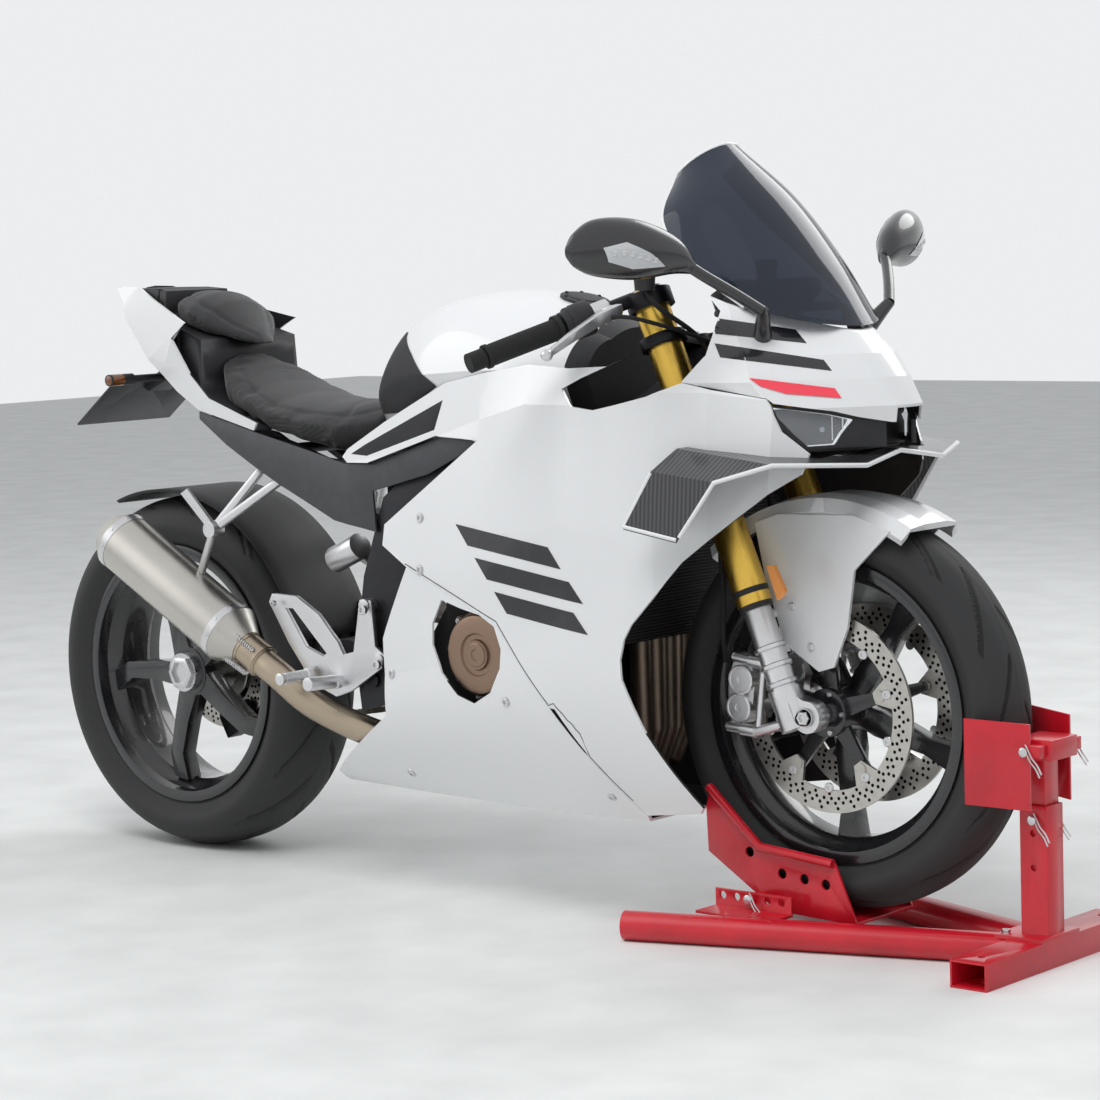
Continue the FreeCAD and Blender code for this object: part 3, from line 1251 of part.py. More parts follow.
def plate_bracket():
    arm = side_prism([(98, 884 - 9 - s.seat_gap), (50, 884 - 9 - s.seat_gap), (-66, 842), (-77.8, 834.8),
                      (-107.8, 812.5), (-96, 806), (-50, 826),
                      (96, 860)], -26, 26)
    lamp_bar = rod(Vec(-60, -96, 832), Vec(-60, 96, 832), 6)
    feature("plate_bracket", arm.fuse(lamp_bar).removeSplitter())
    plate = side_prism([(-80, 838), (-196, 752), (-194, 749), (-78, 835)], -110, 110)
    plate = plate.cut(rod(Vec(-120, -30, 780), Vec(-70, -30, 860), 0.5))
    feature("number_plate", plate)
    lamps = [round_bar(f"indicator_{word}", Vec(-60, side * (96 + s.seat_gap), 832), Vec(0, side, 0), "10",
                       "54 - sizes.seat_gap")
             for side, word in ((-1, "right"), (1, "left"))]
    place(group("indicators", lamps), "rear_indicators")


# Rearset plate with its slotted heel guard, as (x, z)
REARSET = [(618, 396), (610, 376), (540, 334), (505, 322), (452, 340), (398, 405), (356, 470), (364, 484),
           (420, 482), (470, 455), (512, 412),
           (524, 392), (548, 398), (566, 484), (590, 484), (596, 410)]
HEEL_SLOT = [(392, 462), (412, 462), (486, 392), (478, 386), (438, 400)]


def rearsets():
    plates = []
    outer = s.frame_outer_y
    for side in (-1, 1):
        low, high = sorted((side * (outer + 10), side * (outer + 18)))
        plate = side_prism(REARSET, low, high).cut(side_prism(HEEL_SLOT, low, high))
        peg = rod(Vec(514, side * (outer + 16), 348), Vec(514, side * (outer + 92), 352), 11)
        bosses = [rod(Vec(x, side * (outer + s.seat_gap), z), Vec(x, side * (outer + 22), z), 11) for x,
                  z in ((578, 475), (606, 388))]
        plates.append(plate.fuse([peg] + bosses).removeSplitter())
    feature("rearsets", Part.makeCompound(plates))


def passenger_pegs():
    """Silver V brackets on the subframe's gussets; the right one also carries the muffler."""
    brackets = []
    seat = s.gusset_y + s.seat_gap
    for side in (-1, 1):
        joint = Vec(245, side * 200, 588)
        parts = []
        for x, z in ((296, 704), (362, 690)):
            parts.append(rod(Vec(x, side * seat, z), Vec(x, side * (seat + 16), z), 9))
            parts.append(rod(Vec(x, side * (seat + 8), z), joint, 8))
        parts.append(rod(joint - Vec(0, side * 12, 0), joint + Vec(0, side * 12, 0), 14))
        parts.append(rod(joint, joint + Vec(-36, side * 30, 66), 8))
        if side < 0:
            hanger_foot = MUFFLER_FRONT * 0.62 + MUFFLER_REAR * 0.38 + Vec(22, 6, 34)
            parts.append(rod(joint, hanger_foot, 7))
        bracket = parts[0].fuse(parts[1:])
        bracket = bracket.cut(rod(MUFFLER_FRONT, MUFFLER_REAR, s.muffler_radius + s.seat_gap))
        brackets.append(max(bracket.Solids, key=lambda solid: solid.Volume).removeSplitter())
    feature("passenger_pegs", Part.makeCompound(brackets))


# Black pads on the tank's rear sides, as (x, z) outlines
KNEE_PAD = [(500, 775), (500, 812), (543, 863), (612, 912), (671, 880), (742, 829), (690, 806), (640, 785)]


def knee_pads():
    """Rubber pads on the tank's rear flanks, and the black inserts in the white frames below the tank."""
    def swollen(by):
        return loft([tank_section(x, zb - by, yb + by, ym + by, zm, yt + by, zt + by, crown + by) for x, zb,
                     yb, ym, zm, yt, zt, crown in TANK_SECTIONS])

    pad = swollen(2).cut(swollen(s.seat_gap)).common(side_prism(KNEE_PAD, -300, -30))
    pad = max(pad.Solids, key=lambda solid: solid.Volume)
    skin = loft([side_strip(x, row) for x, *row in SIDE_SECTIONS], True)
    insert = skin.common(side_prism(grown(INSERT, -s.seat_gap), -300, -100))
    insert = max(insert.Solids, key=lambda solid: solid.Volume)
    feature("tank_side_covers", Part.makeCompound([pad, mirrored(pad), insert, mirrored(insert)]))


# Grey side covers below the seat: their outline as (x, z), and their bend in plan as (x, y)
COVER_OUTLINE = [(140, 779), (298, 748), (530, 702), (590, 702), (751, 750), (815, 748), (840, 741),
                 (722, 691), (592, 660), (597, 594),
                 (560, 600), (499, 609), (360, 662), (217, 724), (140, 766)]
COVER_PLAN = [(130, 123), (300, 149), (430, 161), (533, 173), (620, 174), (700, 180), (850, 189)]


def side_covers():
    wires = []
    for x, y in COVER_PLAN:
        wires.append(closed_wire([Vec(x, -y, 570), Vec(x, -y, 800), Vec(x, -y + s.panel_thick, 800),
                                  Vec(x, -y + s.panel_thick, 570)]))
    band = loft(wires, True).common(side_prism(COVER_OUTLINE, -300, -50))
    cover = max(band.Solids, key=lambda solid: solid.Volume)
    stand_off = rod(Vec(684, -s.frame_outer_y - s.seat_gap, 690), Vec(684, -176.5, 690), 7)
    feature("seat_side_covers", both_sides(cover.fuse(stand_off).removeSplitter()))


def sprocket_and_chain():
    teeth = 42
    radius = s.sprocket_radius
    outline = []
    for index in range(teeth):
        for share, reach in ((0.0, radius), (0.3, radius + 5), (0.6, radius + 5)):
            angle = 2 * math.pi * (index + share) / teeth
            outline.append((REAR_AXLE.x + reach * math.cos(angle), REAR_AXLE.z + reach * math.sin(angle)))
    ring = side_prism(outline, s.sprocket_y, s.sprocket_y + s.sprocket_thick)
    ring = ring.cut(rod(REAR_AXLE + Vec(0, 100, 0), REAR_AXLE + Vec(0, 160, 0),
                        s.rear_spindle_radius + s.axle_run))
    windows = around(rod(REAR_AXLE + Vec(62, 100, 0), REAR_AXLE + Vec(62, 160, 0), 20), REAR_AXLE, 6)
    feature("rear_sprocket", ring.cut(windows).removeSplitter())
    front = Vec(s.front_sprocket_x, 0, s.front_sprocket_z)
    start_y = s.sprocket_y + (s.sprocket_thick - s.chain_width) / 2
    loops = []
    for offset in (18, 8):
        rear_r = radius + offset
        front_r = s.front_sprocket_radius + offset
        way = front - REAR_AXLE
        tilt = math.atan2(way.z, way.x)
        lean = math.acos((rear_r - front_r) / way.Length)
        top_r = REAR_AXLE + Vec(math.cos(tilt + lean), 0, math.sin(tilt + lean)) * rear_r
        low_r = REAR_AXLE + Vec(math.cos(tilt - lean), 0, math.sin(tilt - lean)) * rear_r
        top_f = front + Vec(math.cos(tilt + lean), 0, math.sin(tilt + lean)) * front_r
        low_f = front + Vec(math.cos(tilt - lean), 0, math.sin(tilt - lean)) * front_r
        far_r = REAR_AXLE - Vec(math.cos(tilt), 0, math.sin(tilt)) * rear_r
        far_f = front + Vec(math.cos(tilt), 0, math.sin(tilt)) * front_r
        shift = Vec(0, start_y, 0)
        wire = closed_wire([top_r + shift, (far_r + shift, low_r + shift), low_f + shift,
                            (far_f + shift, top_f + shift)])
        loops.append(Part.Face(wire).extrude(Vec(0, s.chain_width, 0)))
    feature("chain", loops[0].cut(loops[1]))
    outward = Vec(0, 1, 0)
    pinion = round_bar("pinion", front + outward * s.sprocket_y, outward,
                       "sizes.front_sprocket_radius + 8 - sizes.seat_gap",
                       "sizes.sprocket_thick")
    shaft = round_bar("output_shaft", front + outward * (s.sprocket_y - 12 + s.seat_gap), outward, "12",
                      "sizes.sprocket_thick + 16 - sizes.seat_gap")
    place(fuse("pinion_on_shaft", [pinion, shaft]), "front_sprocket")


def rear_caliper():
    """Caliper under the rear disc, carried from the swingarm's hub by a flat bracket."""
    angle = math.radians(-62)
    out = Vec(math.cos(angle), 0, math.sin(angle))
    along = Vec(-math.sin(angle), 0, math.cos(angle))
    centre = REAR_AXLE + out * (s.rear_disc_radius - 6) + Vec(0, s.rear_disc_y, 0)
    body = caliper(centre, s.rear_disc_y, 5, along, out * -1, 80, 42, 34)
    inner_y = s.rear_disc_y + 14
    corners = [centre + out * 4 + along * 14, centre + out * 4 - along * 14, centre - out * 60 - along * 20,
               centre - out * 60 + along * 20]
    bracket = side_prism([(corner.x, corner.z) for corner in corners], inner_y, inner_y + 6)
    hub = rod(REAR_AXLE, REAR_AXLE + Vec(0, 200, 0), 58 + s.seat_gap)
    feature("rear_caliper", body.fuse(bracket).cut(hub).removeSplitter())


def shock():
    """Rear shock from the swingarm's bridge to the frame's cross tube, with its reservoir on the right."""
    low = Vec(500, 0, 400)
    high = Vec(578, 0, 520)
    body = rod(low + (high - low) * 0.1, low + (high - low) * 0.8, 26)
    eyes = [rod(Vec(500, -14, 412), Vec(500, 14, 412), 12), rod(low, high, 9)]
    reservoir = rod(Vec(436, -106, 536), Vec(500, -112, 562), 22)
    arm = rod(Vec(478, -106, 553), Vec(545, -10, 470), 9)
    damper = body.fuse(eyes + [reservoir, arm])
    damper = damper.cut(rod(Vec(600, -200, 520), Vec(600, 200, 520), 16 + s.seat_gap))
    damper = damper.cut(side_prism([(594, 320), (590, 372.3), (440, 400.3), (372, 392.3), (372, 320)], -100,
                                   100))
    feature("rear_shock", max(damper.Solids, key=lambda solid: solid.Volume).removeSplitter())


def brake_hoses():
    """Brake lines behind each fork leg, from the bottom clamp to the caliper."""
    hoses = []
    for side in (-1, 1):
        def beside(along, behind, inward=0):
            return on_leg(along, side) - STEER_FORWARD * behind + Vec(0, -side * inward, 0)
        hoses.append(pipe([beside(s.bottom_clamp_along - 16 - s.seat_gap, 20, 60), beside(360, 20, 60),
                           beside(330, 36, 46), beside(290, 44, 22), beside(220, 60, 14),
                           beside(165, 92, 20), beside(128, 110, 30)], 4))
    feature("front_brake_hoses", Part.makeCompound(hoses))


# Chock

CRADLE_PIN = Vec(FRONT_AXLE.x - 120, 0, 60)


def chock():
    half = s.rail_length / 2
    rail = box(s.post_x - s.rail_side / 2, RAIL_FRONT_X, -half, half, 0, s.rail_height)
    hollow = box(s.post_x - s.rail_side / 2 + s.rail_wall, RAIL_FRONT_X - s.rail_wall, -half - 5, half + 5,
                 s.rail_wall, s.rail_height - s.rail_wall)
    rail = rail.cut(hollow)
    for side in (-1, 1):
        drill = rod(Vec(s.post_x, side * s.rail_hole_spacing / 2, -5),
                    Vec(s.post_x, side * s.rail_hole_spacing / 2, s.rail_height + 5), s.rail_hole_radius)
        rail = rail.cut(drill)
    parts = [rail]
    radius = s.foot_tube_radius
    rail_back = s.post_x - s.rail_side / 2
    for side in (-1, 1):
        rear = Vec(s.foot_rear_x, side * s.foot_rear_y, radius)
        front = Vec(rail_back + 4, side * 28, radius)
        parts.append(tube(rear, front, radius, s.foot_tube_wall))
    plate = box(s.post_x - 50, s.post_x + 30, -50, 50, s.rail_height, s.rail_height + 6)
    post = box(s.post_x - s.post_side / 2, s.post_x + s.post_side / 2, -s.post_side / 2, s.post_side / 2,
               s.rail_height + 6, s.post_top)
    base = parts[0].fuse(parts[1:] + [plate, post])
    inner_half = s.post_inner_side / 2 + 0.5
    base = base.cut(box(s.post_x - inner_half, s.post_x + inner_half, -inner_half, inner_half,
                        s.rail_height + 6, s.post_top + 5))
    for side in (-1, 1):
        y_in, y_out = side * 96, side * 100
        low, high = sorted((y_in, y_out))
        leg = box(CRADLE_PIN.x - 68, CRADLE_PIN.x + 74, low, high, CRADLE_PIN.z - 18, CRADLE_PIN.z + 10)
        low, high = sorted((side * 96, side * 150))
        foot = box(CRADLE_PIN.x - 68, CRADLE_PIN.x + 74, low, high, CRADLE_PIN.z - 20, CRADLE_PIN.z - 16)
        base = base.fuse([leg, foot])
        low, high = sorted((side * 90, side * 120))
        spare = [rod(CRADLE_PIN + Vec(step, low, 0), CRADLE_PIN + Vec(step, high, 0), 6) for step in (-54,
                -28, 30, 56)]
        base = base.cut([rod(CRADLE_PIN + Vec(0, low, 0), CRADLE_PIN + Vec(0, high, 0),
                             6 + s.seat_gap)] + spare)
    holes = [rod(Vec(s.post_x, -40, z), Vec(s.post_x, 40, z), 5) for z in (s.post_top - 40,
            s.post_top - 90)]
    feature("stand_base", base.cut(holes).removeSplitter())


def chock_head():
    half = s.post_inner_side / 2
    foot = s.rail_height + 6 + s.seat_gap
    side_length = "sizes.post_inner_side"
    bore_length = "sizes.post_inner_side - 2 * sizes.post_wall"
    column = block("column_blank", Vec(s.post_x - half, -half, foot), side_length, side_length,
                   "sizes.post_inner_top - 30 - sizes.rail_height - 6 - sizes.seat_gap")
    bore = block("column_bore", Vec(s.post_x - half + s.post_wall, -half + s.post_wall, 0), bore_length,
                 bore_length, "400")
    yoke = block("column_yoke", Vec(s.post_x - 22, -36, s.post_inner_top - 30), "62", "72", "30")
    place(fuse("column_with_yoke", [cut("column_tube", column, bore), yoke]), "stand_column")
    jaws = []
    for side in (-1, 1):
        rear = Vec(s.post_x - 75, side * 78, s.post_top + 4)
        front = Vec(s.post_x + 21, side * 50, s.post_top - 2)
        way = (front - rear).normalize()
        up = Vec(0, 0, s.jaw_height)
        corners = [rear, rear + way * s.jaw_length, rear + way * s.jaw_length + up, rear + up]
        jaw = Part.Face(Part.makePolygon(corners + [corners[0]])).extrude(Vec(0, side * s.jaw_thick, 0))
        low, high = sorted((side * (36 + s.seat_gap), side * 56))
        ear = box(s.post_x - 16, s.post_x + 34, low, high, s.post_inner_top - 24, s.post_inner_top - 6)
        jaws.append(jaw.fuse(ear).removeSplitter())
    feature("stand_jaws", Part.makeCompound(jaws))


def chock_cradle():
    outer = s.front_tyre_radius + s.cradle_clearance
    centre = FRONT_AXLE
    half = s.cradle_half_width

    def at(angle_deg, radius):
        angle = math.radians(angle_deg)
        return (centre.x - radius * math.sin(angle), centre.z - radius * math.cos(angle))

    meet = outer / math.cos(math.radians(15))
    meet_low = (outer + s.cradle_thick) / math.cos(math.radians(15))
    end = outer / math.cos(math.radians(12))
    end_low = (outer + s.cradle_thick) / math.cos(math.radians(12))
    floor_outline = [at(44, end), at(17, meet), at(-10, end), at(-10, end_low), at(17, meet_low),
                     at(44, end_low)]
    floor = side_prism(floor_outline, -half, half)
    wall_outline = [(centre.x - 213, 220), (centre.x - 119, 136), (centre.x + 16, 124), at(-10, end_low),
                    at(17, meet_low), at(44, end_low),
                    (centre.x - 222, 186)]
    parts = [floor]
    for side in (-1, 1):
        low, high = sorted((side * half, side * (half + s.cradle_thick)))
        wall = side_prism(wall_outline, low, high)
        parts.append(wall)
        low, high = sorted((side * (half + s.cradle_thick), side * 106))
        parts.append(rod(CRADLE_PIN + Vec(0, low, 0), CRADLE_PIN + Vec(0, high, 0), 6))
    cradle = parts[0].fuse(parts[1:])
    for along, height in ((-81, -248), (-40, -252), (-1, -256), (-141, -221)):
        hole = centre + Vec(along, 0, height)
        cradle = cradle.cut(rod(hole - Vec(0, 90, 0), hole + Vec(0, 90, 0), 8))
    feature("stand_cradle", cradle.removeSplitter())


front_wheel()
front_discs()
rear_wheel()
fork()
clamps()
bars()
controls()
front_fender()
front_calipers()
side_fairings()
nose()
windscreen()
tank()
rider_seat()
pillion_seat()
tail()
tail_core()
machine()
main_frame()
subframe()
swingarm()
exhaust()
side_stand()
mirrors()
winglet_feature()
headlights()
instrument_panel()
radiator()
headers()
hugger()
plate_bracket()
rearsets()
passenger_pegs()
knee_pads()
side_covers()
sprocket_and_chain()
rear_caliper()
shock()
brake_hoses()
chock()
chock_head()
chock_cradle()

doc.recompute()
for item in doc.Objects:
    if "Invalid" in item.State or "Error" in item.State:
        raise RuntimeError(f"{item.Label} did not build: {item.State}")
os.makedirs("parts", exist_ok=True)
for piece in nodes:
    shape = piece.Shape
    if shape.isNull() or not shape.isValid():
        raise RuntimeError(f"{piece.Label} is not a valid shape")
    print(piece.Label, "solids", len(shape.Solids), "faces", len(shape.Faces), "volume",
          round(shape.Volume))
    shape.exportStep(f"parts/{piece.Label}.step")
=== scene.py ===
"""Looks of a white sport bike held by a red front wheel chock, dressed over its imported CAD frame."""

import math

import bmesh
import bpy
from mathutils import Matrix, Vector
from mathutils.bvhtree import BVHTree
from mathutils.kdtree import KDTree


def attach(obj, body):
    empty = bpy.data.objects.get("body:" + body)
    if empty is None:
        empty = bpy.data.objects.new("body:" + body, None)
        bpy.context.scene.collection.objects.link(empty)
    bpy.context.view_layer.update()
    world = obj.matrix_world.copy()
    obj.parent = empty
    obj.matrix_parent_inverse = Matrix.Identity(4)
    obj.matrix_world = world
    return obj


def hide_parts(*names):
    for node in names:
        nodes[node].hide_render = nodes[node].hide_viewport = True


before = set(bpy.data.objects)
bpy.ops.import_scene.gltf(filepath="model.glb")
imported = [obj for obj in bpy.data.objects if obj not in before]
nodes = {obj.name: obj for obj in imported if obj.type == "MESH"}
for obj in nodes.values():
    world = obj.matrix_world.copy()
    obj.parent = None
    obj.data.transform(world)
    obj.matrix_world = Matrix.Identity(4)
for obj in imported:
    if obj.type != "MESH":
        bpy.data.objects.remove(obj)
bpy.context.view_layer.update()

MM = 0.001
SIDES = ((-1, "right"), (1, "left"))
# Places are in the CAD's drawing frame: X forward from the rear axle, in millimetres.
# MID_X lies over the scene's origin.
MID_X = 722.5
FRONT_AXLE = Vector((1400, 0, 346))
REAR_AXLE = Vector((0, 0, 312))
RAKE = math.radians(22.3)
STEER_UP = Vector((-math.sin(RAKE), 0, math.cos(RAKE)))
STEER_FORWARD = Vector((math.cos(RAKE), 0, math.sin(RAKE)))
LEG_POINT = FRONT_AXLE - STEER_FORWARD * 27
LEG_HALF_TRACK = 105


def at(x, y, z):
    """Drawing millimetres to the scene's metres."""
    return Vector((x - MID_X, y, z)) * MM


def on_leg(along, side):
    """Point on a fork leg's axis, measured up from the axle's level along the leg."""
    return LEG_POINT + STEER_UP * along + Vector((0, side * LEG_HALF_TRACK, 0))


def on_side(points, side):
    """Points given for the left, on one side."""
    return [Vector((x, side * y, z)) for x, y, z in points]


def turns(count, start=0.0):
    """Angles of a full turn in even steps."""
    return [start + 2 * math.pi * step / count for step in range(count)]


def linked(name, data):
    """New object in the scene."""
    thing = bpy.data.objects.new(name, data)
    bpy.context.scene.collection.objects.link(thing)
    return thing


# Camera, light and floor

CAMERA_PLACE = (4119.2, -3803.0, 1061.0)
CAMERA_YAW, CAMERA_PITCH, CAMERA_ROLL = 40.986, 5.709, -1.816
CAMERA_LENS = 103.26
FLOOR_HALF = 14


def make_camera():
    yaw, pitch, roll = (math.radians(angle) for angle in (CAMERA_YAW, CAMERA_PITCH, CAMERA_ROLL))
    look = Vector((-math.sin(yaw) * math.cos(pitch), math.cos(yaw) * math.cos(pitch), -math.sin(pitch)))
    right = look.cross(Vector((0, 0, 1))).normalized()
    up = right.cross(look)
    data = bpy.data.cameras.new("photo_camera")
    data.lens = CAMERA_LENS
    data.sensor_width = 36
    data.clip_end = 60
    camera = linked("photo_camera", data)
    rotation = Matrix((spoke(right, up, roll), spoke(up, -right, roll), -look)).transposed()
    camera.matrix_world = Matrix.Translation(at(*CAMERA_PLACE)) @ rotation.to_4x4()
    bpy.context.scene.camera = camera


def area_light(name, place, target, size, power):
    data = bpy.data.lights.new(name, "AREA")
    data.shape = "DISK"
    data.size = size
    data.energy = power
    lamp = linked(name, data)
    lamp.location = place
    lamp.rotation_euler = (Vector(target) - Vector(place)).to_track_quat("-Z", "Y").to_euler()
    return lamp


def make_world():
    """Soft sky for light, and a pale backdrop where the camera, a reflection or a clear piece looks at it."""
    world = bpy.data.worlds.new("studio")
    bpy.context.scene.world = world
    world.use_nodes = True
    tree = world.node_tree
    tree.nodes.clear()
    maths = maths_in(tree)
    split = add_node(tree, "SeparateXYZ", {0: add_node(tree, "TexCoord").outputs["Generated"]})
    glow = ramp_of(tree, split.outputs["Z"], (0.0, (0.22, 0.22, 0.22)), (0.55, (0.85, 0.87, 0.9)))
    sky = add_node(tree, "Background", {"Color": glow, "Strength": 0.6})
    backdrop = add_node(tree, "Background", {"Color": (0.84, 0.85, 0.86, 1)})
    path = add_node(tree, "LightPath").outputs
    seen = maths("MAXIMUM", path["Is Camera Ray"], path["Is Transmission Ray"])
    shown = maths("MAXIMUM", seen, path["Is Glossy Ray"])
    mix = add_node(tree, "MixShader", {0: shown, 1: sky.outputs[0], 2: backdrop.outputs[0]})
    add_node(tree, "OutputWorld", {0: mix.outputs[0]})


def make_floor():
    mesh = bpy.data.meshes.new("studio_floor")
    corners = [(FLOOR_HALF * x, FLOOR_HALF * y, 0) for x, y in ((-1, -1), (1, -1), (1, 1), (-1, 1))]
    mesh.from_pydata(corners, [], [(0, 1, 2, 3)])
    material, shader = principled("floor_pale", (0.78, 0.79, 0.78), 0.75)
    speckle(shader, 6, 0.06, detail=6)
    mesh.materials.append(material)
    floor = linked("studio_floor", mesh)


# Shader nodes

def add_node(tree, kind, inputs=None, **settings):
    """New shader node; each input takes a value or the output that feeds it."""
    node = tree.nodes.new("ShaderNode" + kind)
    for name, value in settings.items():
        setattr(node, name, value)
    for name, value in (inputs or {}).items():
        if isinstance(value, bpy.types.NodeSocket):
            tree.links.new(value, node.inputs[name])
        else:
            node.inputs[name].default_value = value
    return node


def maths_in(tree):
    """Short way to write arithmetic on sockets and numbers in a node tree."""
    def maths(operation, *values):
        return add_node(tree, "Math", dict(enumerate(values)), operation=operation).outputs[0]
    return maths


def feed(shader, name, output):
    shader.id_data.links.new(output, shader.inputs[name])


def ramp_of(tree, value, *stops):
    """Colour ramp with two stops, each (place, colour)."""
    ramp = add_node(tree, "ValToRGB", {0: value})
    for element, (place, colour) in zip(ramp.color_ramp.elements, stops):
        element.position = place
        element.color = (*colour, 1)
    return ramp.outputs[0]


def blend_colour(tree, factor, first, second):
    """Mix of two colours, each a tuple or an output."""
    first, second = ((*value, 1) if isinstance(value, tuple) else value for value in (first, second))
    mix = add_node(tree, "Mix", {"Factor": factor, "A": first, "B": second}, data_type="RGBA")
    return mix.outputs["Result"]


def object_noise(tree, scale, stretch=(1, 1, 1), detail=4):
    """Noise in the object's own coordinates, so that it stays with a piece that moves."""
    place = add_node(tree, "TexCoord").outputs["Object"]
    mapping = add_node(tree, "Mapping", {0: place, "Scale": stretch})
    inputs = {"Vector": mapping.outputs[0], "Scale": scale, "Detail": detail}
    return add_node(tree, "TexNoise", inputs).outputs[0]


def bands(tree, direction, scale, distortion=0.0):
    """Height of parallel ribs that follow each other along an axis."""
    place = add_node(tree, "TexCoord").outputs["Object"]
    wave = add_node(tree, "TexWave", {"Vector": place, "Scale": scale, "Distortion": distortion},
                    bands_direction=direction)
    return wave.outputs["Fac"]


def round_axle(tree, axle):
    """Outputs for a place from an axle: as a vector, its angle, its distance and its way across."""
    maths = maths_in(tree)
    place = add_node(tree, "TexCoord").outputs["Object"]
    shift = add_node(tree, "VectorMath", {0: place, 1: at(*axle)}, operation="SUBTRACT").outputs[0]
    x, y, z = add_node(tree, "SeparateXYZ", {0: shift}).outputs
    return shift, maths("ARCTAN2", z, x), length_of(maths, x, z), y


def length_of(maths, first, second):
    return maths("SQRT", maths("ADD", maths("MULTIPLY", first, first), maths("MULTIPLY", second, second)))


def bump(shader, height, strength, distance):
    inputs = {"Height": height, "Strength": strength, "Distance": distance}
    if shader.inputs["Normal"].links:
        inputs["Normal"] = shader.inputs["Normal"].links[0].from_socket
    feed(shader, "Normal", add_node(shader.id_data, "Bump", inputs).outputs[0])


def grain(shader, scale, strength, distance=0.0004, detail=3):
    """Fine bumps all over."""
    bump(shader, object_noise(shader.id_data, scale, detail=detail), strength, distance)


def speckle(shader, scale, amount, detail=4):
    """Lightens and darkens the base colour by a noise, by about the given share."""
    base = shader.inputs["Base Color"].default_value[:3]
    dark, light = ([min(1, part * share) for part in base] for share in (1 - amount, 1 + amount))
    noise = object_noise(shader.id_data, scale, detail=detail)
    feed(shader, "Base Color", ramp_of(shader.id_data, noise, (0.3, dark), (0.7, light)))


def spread_roughness(shader, noise, low, high):
    spread = add_node(shader.id_data, "MapRange", {"Value": noise, "To Min": low, "To Max": high})
    feed(shader, "Roughness", spread.outputs[0])


def rough_by(shader, scale, low, high, stretch=(1, 1, 1)):
    """Roughness that wanders between two values with a noise, which is returned."""
    noise = object_noise(shader.id_data, scale, stretch)
    spread_roughness(shader, noise, low, high)
    return noise


def ribs_with_painted_shade(shader, height, dark, light, strength, distance):
    """Ribs painted darker in their hollows as shade."""
    feed(shader, "Base Color", blend_colour(shader.id_data, height, dark, light))
    bump(shader, height, strength, distance)


# Materials

def principled(name, colour, roughness, metallic=0.0, coat=0.0, coat_roughness=0.05, extra=None):
    material = bpy.data.materials.new(name)
    material.use_nodes = True
    material.diffuse_color = (*colour, 1)
    shader = material.node_tree.nodes["Principled BSDF"]
    values = {"Base Color": (*colour, 1), "Roughness": roughness, "Metallic": metallic, "Coat Weight": coat,
              "Coat Roughness": coat_roughness}
    for socket, value in (values | (extra or {})).items():
        shader.inputs[socket].default_value = value
    return material, shader


def white_paint():
    material, shader = principled("white_lacquer", (0.80, 0.81, 0.82), 0.32, coat=0.9, coat_roughness=0.04)
    speckle(shader, 3, 0.012)
    grain(shader, 420, 0.03, detail=2)
    return material


def gloss_black(name, colour=(0.012, 0.012, 0.014)):
    material, shader = principled(name, colour, 0.28, coat=0.7, coat_roughness=0.06)
    rough_by(shader, 30, 0.2, 0.36)
    grain(shader, 500, 0.03, detail=2)
    return material


def moulded_plastic(name, colour, roughness=0.55):
    material, shader = principled(name, colour, roughness)
    speckle(shader, 60, 0.12)
    grain(shader, 900, 0.25)
    return material


def cast_metal(name, colour, roughness, scale=700):
    material, shader = principled(name, colour, roughness, 1.0)
    rough_by(shader, 90, roughness - 0.08, roughness + 0.1)
    grain(shader, scale, 0.2)
    return material


def brushed_metal(name, colour, roughness, stretch=(1, 1, 1), strength=0.12):
    """Metal with fine lines across the stretched direction."""
    material, shader = principled(name, colour, roughness, 1.0)
    lines = rough_by(shader, 160, roughness - 0.08, roughness + 0.12, stretch)
    speckle(shader, 9, 0.05)
    bump(shader, lines, strength, 0.0003)
    return material


def painted_steel():
    material, shader = principled("red_enamel", (0.58, 0.008, 0.022), 0.34, coat=0.4, coat_roughness=0.15)
    speckle(shader, 14, 0.14)
    grain(shader, 160, 0.18, 0.0008)
    return material


def tinted_screen():
    material, shader = principled("smoked_screen", (0.035, 0.045, 0.07), 0.06, coat=0.5,
                                  extra={"Transmission Weight": 0.55, "IOR": 1.2})
    rough_by(shader, 5, 0.04, 0.08)
    return material


def clear_lens():
    material, shader = principled("clear_lens", (0.85, 0.88, 0.92), 0.05, coat=1.0, extra={"Alpha": 0.16})
    rough_by(shader, 40, 0.03, 0.08)
    return material


def glowing(name, colour, strength, roughness=0.15):
    """Coloured lens that is lit a little from inside: on the lamps their own light, on the fork reflectors
    and the headlamp bowls a painted glow that stands in for the light they reflect.
    """
    material, shader = principled(name, colour, roughness, coat=0.8,
                                  extra={"Emission Color": (*colour, 1), "Emission Strength": strength})
    grain(shader, 260, 0.3, 0.0006, detail=1)
    rough_by(shader, 80, roughness - 0.05, roughness + 0.08)
    return material


